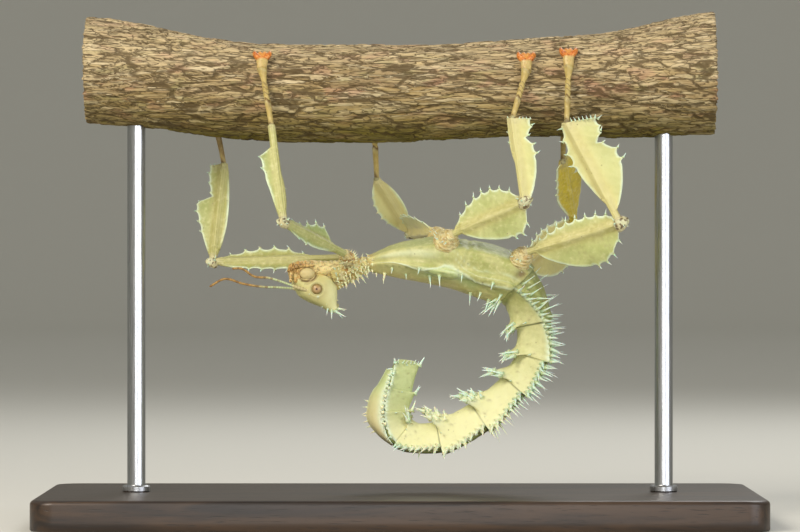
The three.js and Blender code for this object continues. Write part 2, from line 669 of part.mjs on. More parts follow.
// The foot: a flat pad against the bark and a pair of spread claws.
function footSolid(grip, side, heel) {
  const center = perchPoint(grip.x, side, grip.angle, FOOT.clear);
  const away = center.clone().sub(perchPoint(grip.x, side, grip.angle)).normalize();
  const ahead = center.clone().sub(heel);
  ahead.addScaledVector(away, -ahead.dot(away)).normalize();
  const across = new Vector3().crossVectors(ahead, away);
  const basis = new THREE.Matrix4().makeBasis(
    across.clone().multiplyScalar(FOOT.width / 2),
    ahead.clone().multiplyScalar(FOOT.length / 2),
    away.clone().multiplyScalar(FOOT.depth),
  );
  const pad = new THREE.IcosahedronGeometry(1, 0);
  pad.applyMatrix4(basis);
  pad.translate(center.x, center.y, center.z);
  const claws = [LEFT, RIGHT].map((hand) => {
    const root = center.clone().addScaledVector(across, hand * CLAW.root * FOOT.width);
    const aim = across.clone().multiplyScalar(hand).addScaledVector(ahead, CLAW.ahead);
    return thorn(root, aim, CLAW.length, CLAW.radius);
  });
  return joined(solidOf(pad), claws);
}

// The tarsus's route: off the ankle, up under the bark and along it to the heel.
function tarsusPath(ankle, grip, side) {
  const heel = perchPoint(grip.x, side, grip.angle - FOOT.heel, FOOT.clear);
  const archX = (ankle.x + grip.x) / 2;
  const archAngle = (grip.angle + TARSUS.low) / 2;
  const arch = perchPoint(archX, side, archAngle, TARSUS.clear + TARSUS.arch);
  return new QuadraticBezierCurve3(toward(ankle, arch, TARSUS.start + GAP), arch, heel);
}

function tarsusRadius(t) {
  const swelling = TARSUS.swell * Math.abs(Math.sin(TARSUS.joints * Math.PI * t));
  return THREE.MathUtils.lerp(TARSUS.start, TARSUS.end, t * t) + swelling * t;
}

function buildLeg({ name, side, coxa, hip, knee, ankle, grip, twist }) {
  const label = `${name}_${side === RIGHT ? 'right' : 'left'}`;
  const [root, hipAt, kneeAt, ankleAt] = [coxa, hip, knee, ankle].map((point) => placed(point, side));
  add(`coxa_${label}`, largest(cut(coxaSolid(root, hipAt, COXA[name]), [thoraxSpace])), 'ochre');

  const coxaSpace = coxaSolid(root, toward(hipAt, root, -GAP), COXA[name], GAP);
  const femurEnd = toward(kneeAt, hipAt, -LIMB.past);
  const femurShape = [hipAt, femurEnd, ankleAt.clone().sub(kneeAt), twist[0], LOBES[name].femur];
  add(`femur_${label}`, largest(cut(blade(...femurShape), [coxaSpace, thoraxSpace])), 'pale');

  const tibiaStart = toward(kneeAt, ankleAt, clearOfJoint(hipAt, kneeAt, ankleAt));
  const tibiaShape = [tibiaStart, ankleAt, hipAt.clone().sub(kneeAt), twist[1], LOBES[name].tibia];
  const tibia = largest(cut(blade(...tibiaShape), [blade(...femurShape, GAP)]));
  add(`tibia_${label}`, tibia, label === 'hind_left' ? 'amber' : 'pale');

  const path = tarsusPath(ankleAt, grip, side);
  const tarsus = cut(bar(path, tarsusRadius, TARSUS), [blade(...tibiaShape, GAP)]);
  add(`tarsus_${label}`, largest(tarsus), 'ochre');
  add(`foot_${label}`, footSolid(grip, side, path.v2), 'foot');
}

// ---- Assembly ----------------------------------------------------------------------

buildStand();
buildPerch();
buildHead();
buildThorax();
buildAbdomen();
buildOperculum();
LEGS.forEach(buildLeg);

export default model;
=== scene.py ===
# %% [markdown]
# # A spiny stick insect under a branch
#
# A nearly grown female stick insect hangs upside down from a cut length of branch,
# which two steel rods hold above a wooden base. The head is toward -X, the insect's
# right side toward -Y, and its back is its lower side, because it hangs. Sizes here
# are in millimetres, and one helper turns them to metres where a mesh is made.
#
# The lesson goes from helpers, through the skin of each part, to finishes and light.

# %% The frame, the units and the body's sides
import itertools
import math

import bpy
import numpy as np
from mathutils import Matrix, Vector


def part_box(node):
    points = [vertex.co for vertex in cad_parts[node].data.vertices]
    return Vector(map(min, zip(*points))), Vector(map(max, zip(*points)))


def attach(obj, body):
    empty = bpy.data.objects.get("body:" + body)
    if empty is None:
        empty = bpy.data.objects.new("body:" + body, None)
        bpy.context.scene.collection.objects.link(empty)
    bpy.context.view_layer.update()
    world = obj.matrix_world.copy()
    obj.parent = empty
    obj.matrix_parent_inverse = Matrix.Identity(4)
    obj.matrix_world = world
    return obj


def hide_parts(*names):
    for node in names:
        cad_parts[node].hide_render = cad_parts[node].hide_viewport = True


MM = 0.001
RIGHT, LEFT = -1, 1  # side factors along Y
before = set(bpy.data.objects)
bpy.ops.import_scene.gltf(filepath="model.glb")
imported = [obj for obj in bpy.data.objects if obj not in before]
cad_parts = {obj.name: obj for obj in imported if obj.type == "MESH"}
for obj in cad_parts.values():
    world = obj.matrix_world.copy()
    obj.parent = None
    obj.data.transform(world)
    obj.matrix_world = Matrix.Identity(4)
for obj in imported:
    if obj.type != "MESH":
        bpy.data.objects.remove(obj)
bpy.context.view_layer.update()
print("frame:", len(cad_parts), "nodes")

# %% [markdown]
# ## The camera
#
# A long lens far away keeps the model's proportions true, as a drawing would.
# It stands level, just high enough for the base's underside to be in view.

# %% The camera
CAMERA = {"distance": 700, "height": 42.24, "view_width": 132, "sensor": 36}


def make_camera():
    data = bpy.data.cameras.new("camera")
    data.sensor_width = CAMERA["sensor"]
    data.lens = CAMERA["sensor"] * CAMERA["distance"] / CAMERA["view_width"]
    data.clip_start = 0.05
    data.clip_end = 20
    camera = bpy.data.objects.new("camera", data)
    camera.location = (0, -CAMERA["distance"] * MM, CAMERA["height"] * MM)
    camera.rotation_euler = (math.pi / 2, 0, 0)
    bpy.context.scene.collection.objects.link(camera)
    bpy.context.scene.camera = camera
    print("lens", round(data.lens, 1), "mm")


make_camera()

# %% [markdown]
# ## Curves, noise and closed skins
#
# Most of the insect is tube-like, so most skins here are rings of points along a
# curve, sewn together and closed at both ends. Masks are numbers from 0 to 1 on the
# points, such as how near a rim is; the materials read them to place their colours.


# %% Smooth curves through given values
def smooth(values):
    """A function of 0 to 1 that runs smoothly through evenly spaced values."""
    points = np.asarray(values, float)
    last = len(points) - 1

    def at(t):
        place = np.clip(np.asarray(t, float), 0, 1) * last
        i = np.minimum(place.astype(int), last - 1)
        w = place - i
        if points.ndim > 1:
            w = w[..., None]
        before, here = points[np.maximum(i - 1, 0)], points[i]
        there, after = points[i + 1], points[np.minimum(i + 2, last)]
        leave, arrive = (there - before) / 2, (after - here) / 2
        cubic = 2 * here - 2 * there + leave + arrive
        square = -3 * here + 3 * there - 2 * leave - arrive
        return cubic * w**3 + square * w**2 + leave * w + here

    return at


def path_through(points):
    """A path of 0 to 1 that doesn't overshoot where its points are unevenly spaced."""
    p = np.asarray(points, float)
    p = np.vstack([2 * p[0] - p[1], p, 2 * p[-1] - p[-2]])
    gaps = np.sqrt(np.linalg.norm(np.diff(p, axis=0), axis=1))

    def at(t):
        place = np.clip(np.asarray(t, float), 0, 1) * (len(p) - 3)
        i = np.minimum(place.astype(int), len(p) - 4)
        w = (place - i)[..., None]
        a, b, c, d = p[i], p[i + 1], p[i + 2], p[i + 3]
        da, db, dc = gaps[i][..., None], gaps[i + 1][..., None], gaps[i + 2][..., None]
        leave = db * ((b - a) / da - (c - a) / (da + db) + (c - b) / db)
        arrive = db * ((c - b) / db - (d - b) / (db + dc) + (d - c) / dc)
        square = -3 * b + 3 * c - 2 * leave - arrive
        return b + leave * w + square * w**2 + (2 * b - 2 * c + leave + arrive) * w**3

    return at


def unit(v):
    return v / np.maximum(np.linalg.norm(v, axis=-1, keepdims=True), 1e-12)


def headings(path, t):
    """Unit directions of a path at t."""
    step = 1e-3
    return unit(path(np.minimum(t + step, 1)) - path(np.maximum(t - step, 0)))


def ease(low, high, x):
    """0 below low, 1 above high, and a smooth rise between them."""
    y = np.clip((x - low) / (high - low), 0, 1)
    return y * y * (3 - 2 * y)


def bump(x, middle, width):
    """A soft hill of height 1."""
    return np.exp(-(((x - middle) / width) ** 2))


# %% Seeded noise
def noise(points, grain, seed=0):
    """Smooth noise from -1 to 1, its features about grain mm across."""
    cells = points / grain
    base = np.floor(cells)
    part = cells - base
    part = part * part * (3 - 2 * part)
    total = np.zeros(points.shape[:-1])
    for corner in itertools.product((0, 1), repeat=3):
        key = (base + corner) @ np.array([127.1, 311.7, 74.7]) + seed * 17.3
        value = np.sin(key) * 43758.5453
        weight = np.prod(np.where(corner, part, 1 - part), axis=-1)
        total += weight * (2 * (value - np.floor(value)) - 1)
    return total


# %% Closed skins over rings
def shell(rings, **masks):
    """A closed skin over (count, around, 3) rings, with masks of (count, around)."""
    count, around, _ = rings.shape
    verts = np.vstack([rings.reshape(-1, 3), rings[0].mean(0), rings[-1].mean(0)])
    i, j = np.meshgrid(np.arange(count - 1), np.arange(around), indexing="ij")
    k = (j + 1) % around
    walls = np.stack([i * around + j, i * around + k, (i + 1) * around + k, (i + 1) * around + j], -1)
    walls = walls.reshape(-1, 4)
    j = np.arange(around)
    k = (j + 1) % around
    tip = count * around
    ends = np.vstack([
        np.stack([np.full(around, tip), k, j], -1),
        np.stack([np.full(around, tip + 1), (count - 1) * around + j, (count - 1) * around + k], -1),
    ])
    triangles = np.vstack([walls[:, :3], walls[:, [0, 2, 3]], ends])
    a, b, c = (verts[triangles[:, n]] - verts.mean(0) for n in range(3))
    if np.einsum("ij,ij->i", a, np.cross(b, c)).sum() < 0:
        walls, ends = walls[:, ::-1], ends[:, ::-1]
    flat = {}
    for name, mask in masks.items():
        mask = np.broadcast_to(mask, (count, around))
        flat[name] = np.concatenate([mask.reshape(-1), [mask[0].mean(), mask[-1].mean()]])
    return {"verts": verts, "walls": walls, "ends": ends, "masks": flat}


def tube(path, radius, rings, around, across=(0, 1, 0), flat=1.0, **masks):
    """A round or oval bar along a path; radius and masks are functions of 0 to 1."""
    t = np.linspace(0, 1, rings)
    ahead = headings(path, t)
    wide = unit(np.array(across, float) - ahead * (ahead @ np.array(across, float))[:, None])
    deep = np.cross(ahead, wide)
    angle = np.arange(around) / around * 2 * math.pi
    size = np.broadcast_to(radius(t), t.shape)[:, None, None]
    ring = wide[:, None] * np.cos(angle)[:, None] + deep[:, None] * (flat * np.sin(angle))[:, None]
    values = {name: mask(t)[:, None] for name, mask in masks.items()}
    return shell(path(t)[:, None] + size * ring, **values)


def ball(center, along, across, radii, rings=20, around=28, **masks):
    """An ellipsoid whose poles lie along its first radius's direction."""
    along = unit(np.array(along, float))
    across = unit(np.array(across, float) - along * (along @ np.array(across, float)))
    third = np.cross(along, across)
    polar = np.linspace(0.02, math.pi - 0.02, rings)[:, None, None]
    angle = (np.arange(around) / around * 2 * math.pi)[None, :, None]
    ring = along * (radii[0] * np.cos(polar)) + across * (radii[1] * np.sin(polar) * np.cos(angle))
    return shell(np.array(center, float) + ring + third * (radii[2] * np.sin(polar) * np.sin(angle)), **masks)


def roughened(skin, depth, grain, seed=0):
    """The same skin, moved in and out from its own middle by noise."""
    verts = skin["verts"]
    shift = noise(verts, grain, seed) + 0.5 * noise(verts, grain / 2, seed + 1)
    skin["verts"] = verts + unit(verts - verts.mean(0)) * (shift * depth)[:, None]
    return skin


# %% Meshes and pieces
def mesh_of(name, skins):
    """One mesh of several skins, in metres, with every mask as a point attribute."""
    verts, faces, masks, start = [], [], {}, 0
    names = sorted({key for skin in skins for key in skin["masks"]})
    for skin in skins:
        verts.append(skin["verts"] * MM)
        faces += (skin["walls"] + start).tolist() + (skin["ends"] + start).tolist()
        for key in names:
            blank = np.zeros(len(skin["verts"]))
            masks.setdefault(key, []).append(skin["masks"].get(key, blank))
        start += len(skin["verts"])
    mesh = bpy.data.meshes.new(name)
    mesh.from_pydata(np.vstack(verts), [], faces)
    for key in names:
        attribute = mesh.attributes.new(key, "FLOAT", "POINT")
        attribute.data.foreach_set("value", np.concatenate(masks[key]).astype(np.float32))
    mesh.shade_smooth()
    return mesh


def piece(name, mesh, material, slot, *nodes):
    """Puts a finished mesh in the scene, in place of the nodes that it stands for."""
    obj = bpy.data.objects.new(name, mesh)
    bpy.context.scene.collection.objects.link(obj)
    mesh.materials.clear()
    mesh.materials.append(material)
    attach(obj, "root")
    if nodes:
        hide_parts(*nodes)
    triangles = sum(len(face.vertices) - 2 for face in mesh.polygons)
    print(f"{name}: {triangles} triangles")
    return obj


# %% [markdown]
# ## How a finish is written
#
# Colours are hex values as a paint chart gives them; one function turns them to the
# linear values that Blender mixes. One small function adds a node with its settings
# and links. A finish is then laid as a painter does it: a ground colour, coats over
# it where patterns and masks say, and a relief of a real depth. What is the same all
# over, such as gloss, is set on the shader's own sockets.


# %% Colours and nodes
def linear(hexcode):
    """An sRGB hex colour as linear RGBA."""
    parts = [int(hexcode[i:i + 2], 16) / 255 for i in (0, 2, 4)]
    return [c / 12.92 if c <= 0.04045 else ((c + 0.055) / 1.055) ** 2.4 for c in parts] + [1]


def add(tree, kind, *values, out=None, **settings):
    """Adds a node with its settings and links, and gives its first output or a named one.

    Values go to the inputs in order, and by name from a dict that comes last. A value
    that is another node's output is linked, and a hex value becomes a colour.
    """
    node = tree.nodes.new(kind)
    for key, value in settings.items():
        setattr(node, key, value)
    sockets = [socket for socket in node.inputs if socket.enabled]
    named = {socket.name: socket for socket in reversed(sockets)}
    pairs = []
    for place, value in enumerate(values):
        if isinstance(value, dict):
            pairs += [(named[name], part) for name, part in value.items()]
        else:
            pairs.append((sockets[place], value))
    for socket, value in pairs:
        if isinstance(value, bpy.types.NodeSocket):
            tree.links.new(value, socket)
        else:
            socket.default_value = linear(value) if socket.type == "RGBA" else value
    return node.outputs[out] if out else next(socket for socket in node.outputs if socket.enabled)


# %% Where and how thick a coat is
def product(tree, *factors):
    """Factors multiplied: sockets, numbers, or (value, low, high), a smooth rise from 0 to 1."""
    total = None
    for factor in factors:
        if isinstance(factor, tuple):
            factor = add(tree, "ShaderNodeMapRange", *factor, interpolation_type="SMOOTHSTEP")
        total = factor if total is None else add(tree, "ShaderNodeMath", total, factor, operation="MULTIPLY")
    return total


def weighted(tree, total, *parts, **settings):
    """A number plus values times their weights, each pair written (value, weight)."""
    for value, weight in parts:
        total = add(tree, "ShaderNodeMath", value, weight, total, operation="MULTIPLY_ADD", **settings)
    return total


def coated(tree, colour, *coats):
    """A colour under coats, each a colour and the factors whose product is its strength."""
    for above, *factors in coats:
        colour = add(tree, "ShaderNodeMix", product(tree, *factors), colour, above, data_type="RGBA")
    return colour


# %% Patterns with sizes in millimetres
def place_of(tree, stretch=(1, 1, 1)):
    """The object's own coordinates in millimetres, divided by a stretch."""
    coordinates = add(tree, "ShaderNodeTexCoord", out="Object")
    return add(tree, "ShaderNodeMapping", coordinates, {"Scale": [1 / MM / s for s in stretch]})


def grain(tree, size, detail=2.0, stretch=(1, 1, 1), warp=0.0):
    """Noise around 0.5 with features about size mm across."""
    return add(tree, "ShaderNodeTexNoise", place_of(tree, stretch), 1 / size, detail, {"Distortion": warp})


def cells(tree, size, stretch=(1, 1, 1), warp=0.5):
    """Warped cells about size mm across: how far from an edge, and each cell's number."""
    place = place_of(tree, stretch)
    cloud = add(tree, "ShaderNodeTexNoise", place, 0.6 / size, 2.0, out="Color")
    middle = add(tree, "ShaderNodeVectorMath", cloud, (0.5,) * 3, operation="SUBTRACT")
    shift = add(tree, "ShaderNodeVectorMath", middle, warp * size * 4, operation="SCALE")
    spot = add(tree, "ShaderNodeVectorMath", place, shift, operation="ADD")
    edge = add(tree, "ShaderNodeTexVoronoi", spot, 1 / size, feature="DISTANCE_TO_EDGE")
    own = add(tree, "ShaderNodeTexVoronoi", spot, 1 / size, feature="F1", out="Color")
    return edge, add(tree, "ShaderNodeSeparateXYZ", own)


def masks_of(tree, *names):
    """The masks that a skin's points carry."""
    return [add(tree, "ShaderNodeAttribute", attribute_name=name, out="Fac") for name in names]


def finish(name, paint=None, **surface):
    """A material: constants for the shader's sockets, and a paint function for what varies.

    The paint gives the colour, and may give a height with its depth in mm.
    """
    material = bpy.data.materials.new(name)
    material.use_nodes = True
    tree = material.node_tree
    shader = tree.nodes["Principled BSDF"]
    for key, value in surface.items():
        shader.inputs[key.replace("_", " ")].default_value = value
    if paint:
        colour, *heights = paint(tree)
        tree.links.new(colour, shader.inputs["Base Color"])
        for height, depth in heights:
            bumped = add(tree, "ShaderNodeBump", {"Height": height, "Distance": depth * MM, "Strength": 1.0})
            tree.links.new(bumped, shader.inputs["Normal"])
    return material


# %% [markdown]
# ## How a growing rule is written
#
# What repeats by a rule is grown by Geometry Nodes: its sizes are named inputs, so a
# number is changed in one place. The result is taken over as a plain mesh, because
# modifiers and instances don't leave Blender with the model.


# %% Trees of Geometry Nodes
def group(name, sizes):
    """A geometry tree with a mesh input and named inputs, and the socket of its output."""
    tree = bpy.data.node_groups.new(name, "GeometryNodeTree")
    face = tree.interface
    face.new_socket("Geometry", in_out="INPUT", socket_type="NodeSocketGeometry")
    for key, value in sizes.items():
        kinds = {int: "NodeSocketInt", float: "NodeSocketFloat"}
        kind = kinds.get(type(value), "NodeSocketMaterial")
        face.new_socket(key, in_out="INPUT", socket_type=kind).default_value = value
    face.new_socket("Geometry", in_out="OUTPUT", socket_type="NodeSocketGeometry")
    return tree, tree.nodes.new("NodeGroupInput").outputs, tree.nodes.new("NodeGroupOutput").inputs[0]


def grown(name, mesh, tree):
    """The mesh that a geometry tree makes of a mesh, with no modifier left."""
    carrier = bpy.data.objects.new(name, mesh)
    bpy.context.scene.collection.objects.link(carrier)
    modifier = carrier.modifiers.new(name, "NODES")
    modifier.node_group = tree
    for item in tree.interface.items_tree:
        if item.in_out == "INPUT" and item.socket_type != "NodeSocketGeometry":
            modifier[item.identifier] = item.default_value
    evaluated = carrier.evaluated_get(bpy.context.evaluated_depsgraph_get())
    made = bpy.data.meshes.new_from_object(evaluated)
    bpy.data.objects.remove(carrier)
    made.name = name
    return made
# %% [markdown]
# ## The perch
#
# The branch is a slightly bent, slightly lumpy log with thin flaky bark. Its rings
# give the bends and lumps. Geometry Nodes then press in the fissures, because they
# repeat by a rule: cells stretched along the branch, cracked apart at their edges.

# %% The log's shape
PERCH = {
    "length": 103,
    "height": [74.6, 71.75, 70.5, 71.2, 71.95, 73.9],
    "radius": [9.1, 8.3, 8.35, 8.1, 8.7, 10.4],
    "lump": 0.18,
    "bark": 0.62,  # how deep the fissures' floor lies under the log's outline
}
perch_height = smooth(PERCH["height"])
perch_radius = smooth(PERCH["radius"])


def perch_point(x, side, degrees, clear=0.0):
    """A place on the bark at x, at an angle up from level on one side."""
    t = x / PERCH["length"] + 0.5
    angle = np.radians(degrees)
    reach = perch_radius(t) + PERCH["lump"] * np.sin(3 * angle + side + x / 5) + clear
    y = side * reach * np.cos(angle)
    z = perch_height(t) + reach * np.sin(angle)
    return np.stack(np.broadcast_arrays(x, y, z), -1)


def log_skin():
    """The log's outline, its two ends recessed so that the cut faces can close them."""
    half = PERCH["length"] / 2
    x = np.concatenate([[0.8 - half, 0.1 - half], np.linspace(-half, half, 410), [half - 0.1, half - 0.8]])[:, None]
    under = np.full((len(x), 1), PERCH["bark"])
    under[[0, -1]], under[[1, -2]] = 1.6, 1.3
    degrees = np.arange(230)[None, :] / 230 * 360
    return shell(perch_point(x, RIGHT, degrees, -under))


# %% Bark relief in Geometry Nodes
def plates(tree, place, length, width, crack, swirl):
    """Long cells on the surface: how far inside a cell's edge, and the cell's number."""
    cell = add(tree, "ShaderNodeCombineXYZ", length, width, width)
    spot = add(tree, "ShaderNodeVectorMath", place, cell, operation="DIVIDE")
    spot = add(tree, "ShaderNodeVectorMath", spot, (swirl,) * 3, operation="ADD")
    edge = add(tree, "ShaderNodeTexVoronoi", spot, 1.0, feature="DISTANCE_TO_EDGE")
    own = add(tree, "ShaderNodeTexVoronoi", spot, 1.0, feature="F1", out="Color")
    return product(tree, (edge, 0.0, crack)), add(tree, "ShaderNodeSeparateXYZ", own)


def bark_tree(material):
    sizes = {
        "Plate length": 13.0 * MM, "Plate width": 1.3 * MM, "Flake length": 5.5 * MM, "Flake width": 0.55 * MM,
        "Wave": 2.6 * MM, "Plate depth": 0.36 * MM, "Flake depth": 0.22 * MM, "Material": material,
    }
    tree, given, out = group("bark relief", sizes)
    position = add(tree, "GeometryNodeInputPosition")
    slow = add(tree, "ShaderNodeVectorMath", position, (0.6, 1.0, 1.0), operation="MULTIPLY")
    warp = add(tree, "ShaderNodeTexNoise", slow, 1 / (4.2 * MM), 3.0, 0.5, out="Color")
    centred = add(tree, "ShaderNodeVectorMath", warp, (0.5,) * 3, operation="SUBTRACT")
    shifted = add(tree, "ShaderNodeVectorMath", centred, given["Wave"], operation="SCALE")
    bent = add(tree, "ShaderNodeVectorMath", position, shifted, operation="ADD")
    face, plate = plates(tree, bent, given["Plate length"], given["Plate width"], 0.12, 0.0)
    flake, scale = plates(tree, bent, given["Flake length"], given["Flake width"], 0.22, 7.3)
    lift = product(tree, face, weighted(tree, 0.45, (plate, 0.55)), given["Plate depth"])
    tilt = product(tree, flake, scale, given["Flake depth"])
    total = add(tree, "ShaderNodeMath", lift, tilt, operation="ADD")
    push = add(tree, "ShaderNodeVectorMath", add(tree, "GeometryNodeInputNormal"), total, operation="SCALE")
    geometry = given["Geometry"]
    for key, value in (("fissure", face), ("plate", plate), ("flake", flake), ("scale", scale)):
        named = {"Name": key, "Value": value}
        geometry = add(tree, "GeometryNodeStoreNamedAttribute", geometry, named, data_type="FLOAT", domain="POINT")
    moved = add(tree, "GeometryNodeSetPosition", geometry, {"Offset": push})
    real = add(tree, "GeometryNodeRealizeInstances", moved)
    done = add(tree, "GeometryNodeSetMaterial", real, {"Material": given["Material"]})
    tree.links.new(done, out)
    return tree


# %% [markdown]
# The bark of a living twig is dead cork in thin plates: grey-brown faces that
# weather to straw, dark brown floors between them, and green algae on its underside.
# Noise alone would look like paint on a smooth log, so most coats follow the masks
# that the relief left: plates differ, and floors are dark, partly with painted shade.
# The top is painted lighter and the underside darker, as painted light and shade.


# %% Bark finish
def paint_bark(tree):
    face, plate, flake, scale = masks_of(tree, "fissure", "plate", "flake", "scale")
    fibre = grain(tree, 0.3, 4.0, (9, 1, 1), 0.5)
    streak = grain(tree, 0.75, 3.0, (7, 1, 1), 0.6)
    broad = grain(tree, 6.0, 3.0, (2.5, 1, 1))
    algae, blush = grain(tree, 1.6, 3.0, (3, 1, 1)), grain(tree, 2.2, 3.0, (2.4, 1, 1))
    gap, chip = cells(tree, 0.6, (9, 1, 1), 1.0)
    height = add(tree, "ShaderNodeSeparateXYZ", place_of(tree), out="Z")
    sound = weighted(tree, 0.15, (product(tree, (gap, 0.012, 0.07)), 0.85))
    whole = product(tree, (face, 0.0, 0.6), (flake, -0.9, 0.4), (streak, 0.34, 0.41), sound)
    colour = coated(
        tree, "a0895c",
        ("bba475", (broad, 0.35, 0.65)),
        ("baa57c", (plate, 0.2, 0.9)),
        ("93794c", (scale, 0.3, 1.0), 0.5),
        ("d2c29e", (chip, 0.6, 0.95), 0.7),
        ("8f7a5e", (chip, 0.35, 0.1), 0.45),
        ("cdb98f", (streak, 0.5, 0.75), 0.8),
        ("6b5634", (fibre, 0.48, 0.28), 0.7),
        ("8f8c58", (algae, 0.55, 0.7), 0.4),
        ("b08068", (blush, 0.52, 0.66), 0.5),
        # painted light and shade: the top is painted lighter, the underside darker, darkest at the bottom, where a
        # green algae tint is mixed in
        ("dcc79c", (height, 71.5, 77.5), 0.4),
        ("7a6a2a", (height, 72.0, 66.5), 0.45),
        ("655c0e", (height, 67.5, 63.0), (broad, 0.25, 0.55), 0.85),
        # painted shade, with the inner bark's own dark brown: the fissures, flake edges and cracks go near black
        ("42331b", weighted(tree, 1.0, (whole, -1.0)), 0.82),
    )
    return colour, (weighted(tree, 0.0, (fibre, 0.6), (whole, 0.7), (streak, 0.6)), 0.24)


# dead cork, dry and crumbly: no shine anywhere, and all its light comes from its relief
bark = finish("weathered cork bark", paint_bark, Roughness=0.93, Specular_IOR_Level=0.25)
perch_mesh = grown("perch_bark", mesh_of("log", [log_skin()]), bark_tree(bark))
piece("perch_bark", perch_mesh, bark, "bark", "perch")

# %% [markdown]
# The branch's two cut ends show pale sapwood with growth rings round a darker pith,
# and the saw's faint marks. Each is a thin disc that closes its end of the log. Its
# growth rings could be cut into it, but they are flat, so a mask colours them.


# %% Cut ends
def cut_end(sign):
    x = sign * PERCH["length"] / 2
    shares = np.concatenate([np.linspace(0.02, 1, 40), [1.0, 0.98]])
    depth = np.concatenate([np.full(40, -0.02), [-0.25, -1.2]])
    degrees = np.arange(120) * 3.0
    rim = perch_point(x, RIGHT, degrees, -0.75)
    middle = np.array([x, 0, float(perch_height(x / PERCH["length"] + 0.5))])
    rings = middle + shares[:, None, None] * (rim - middle)
    rings[..., 0] += sign * depth[:, None]
    radius = np.broadcast_to(shares[:, None], rings.shape[:2])
    return shell(rings, radius=radius)


def paint_end_grain(tree):
    [radius] = masks_of(tree, "radius")
    ring = weighted(tree, 0.0, (radius, 9.0), (grain(tree, 4.0), 1.26))
    wave = add(tree, "ShaderNodeMath", ring, operation="FRACT")
    saw = grain(tree, 0.35, 2.0, (1, 1, 9))
    colour = coated(
        tree, "cdb284",
        ("a07f50", (wave, 0.55, 1.0)),
        ("6d4e30", (radius, 0.2, 0.05)),
        ("5a4630", (radius, 0.88, 0.95)),
        ("8d6d44", (saw, 0.4, 0.7), 0.3),
    )
    return colour, (weighted(tree, 0.0, (saw, 1.0), (wave, 0.4)), 0.12)


# sawn across the grain and left raw: dry and matt, with short scratches from the teeth
sapwood = finish("sawn sapwood", paint_end_grain, Roughness=0.8)
piece("perch_ends", mesh_of("ends", [cut_end(-1), cut_end(1)]), sapwood, "bark")

# %% [markdown]
# ## The display stand
#
# A plain museum stand: a slab of dark, satin-varnished hardwood with eased edges,
# and two brushed steel rods that run up into the perch. Each is a lathe or a
# rounded outline in steps, so its rings are worked out, not drawn.

# %% The base
BASE = {"length": 118, "depth": 56, "height": 5, "corner": 4, "ease": 0.8}


def base_skin():
    half = np.array([BASE["length"] / 2, BASE["depth"] / 2])
    quarter = np.radians(np.arange(12) * 90 / 11)
    outline = []
    for turn in range(4):
        angle = quarter + turn * math.pi / 2
        sign = np.sign([math.cos(turn * math.pi / 2 + 0.7), math.sin(turn * math.pi / 2 + 0.7)])
        middle = sign * (half - BASE["corner"])
        outline.append(middle + BASE["corner"] * np.stack([np.cos(angle), np.sin(angle)], -1))
    outline = np.vstack(outline)
    roll = np.radians(np.linspace(0, 90, 8))
    inset = np.concatenate([[0.25, 0.0, 0.0], BASE["ease"] * (1 - np.cos(roll)), [3.0, 12.0, 24.0]])
    lift = np.concatenate([[0.0, 0.25, 1.5], BASE["height"] - BASE["ease"] * (1 - np.sin(roll)), [BASE["height"]] * 3])
    rings = []
    for pull, z in zip(inset, lift):
        shrink = (half - pull) / half
        rings.append(np.column_stack([outline * shrink, np.full(len(outline), z)]))
    return shell(np.array(rings))


def paint_hardwood(tree):
    figure = grain(tree, 1.6, 4.0, (18, 1, 1.5), 0.7)
    pores = grain(tree, 0.22, 2.0, (14, 1, 1))
    colour = coated(tree, "1d130d", ("43301f", (figure, 0.32, 0.68)), ("100a07", (pores, 0.58, 0.7), 0.6))
    return colour, (weighted(tree, 1.0, (product(tree, (pores, 0.6, 0.75)), -1.0)), 0.02)


# two thin coats of satin varnish: a soft, even sheen over open pores
varnish = {"Roughness": 0.42, "Coat_Weight": 0.2, "Coat_Roughness": 0.3}
hardwood = finish("satin-varnished dark hardwood", paint_hardwood, **varnish)
piece("stand_base_wood", mesh_of("base", [base_skin()]), hardwood, "base_wood", "stand_base")

# %% The rods
ROD = {"radius": 1.5, "places": (-43.5, 43.5), "collar": 2.3}


def rod_skin(x):
    low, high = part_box("stand_rod_left" if x < 0 else "stand_rod_right")
    bottom, top = low.z / MM, high.z / MM
    collar, radius = ROD["collar"], ROD["radius"]
    profile = [
        (bottom, 0.2), (bottom, collar - 0.2), (bottom + 0.2, collar), (bottom + 0.9, collar),
        (bottom + 1.1, collar - 0.2), (bottom + 1.1, radius + 0.05), (bottom + 1.3, radius), (top, radius),
    ]
    angle = np.arange(64) / 64 * 2 * math.pi
    rings = [np.column_stack([x + r * np.cos(angle), r * np.sin(angle), np.full(64, z)]) for z, r in profile]
    return shell(np.array(rings))


def paint_steel(tree):
    brush = grain(tree, 0.12, 2.0, (1, 1, 60))
    tree.links.new(weighted(tree, 0.2, (brush, 0.16)), tree.nodes["Principled BSDF"].inputs["Roughness"])
    return (coated(tree, "a9abae", ("c9cbcd", brush)),)


# brushed along its length: fine lines, and one long highlight down the rod
steel = finish("brushed stainless steel", paint_steel, Metallic=1.0, Anisotropic=0.4)
for rod_name, rod_x in zip(("left", "right"), ROD["places"]):
    rod = piece(f"stand_rod_{rod_name}_steel", mesh_of("rod", [rod_skin(rod_x)]), steel, "rod_steel",
                f"stand_rod_{rod_name}")
    rod.data.set_sharp_from_angle(angle=math.radians(35))

# %% [markdown]
# ## The trunk
#
# The thorax and abdomen are one tube of skin over nine abdominal segments. Each
# segment's rear edge stands out as a lip over the next one, and its side margins
# are keels with ragged teeth. One surface function gives a point of the skin at any
# row along the body and any place round the section, so the thorns, which come
# later, can be rooted on the same surface that the mesh is made from.

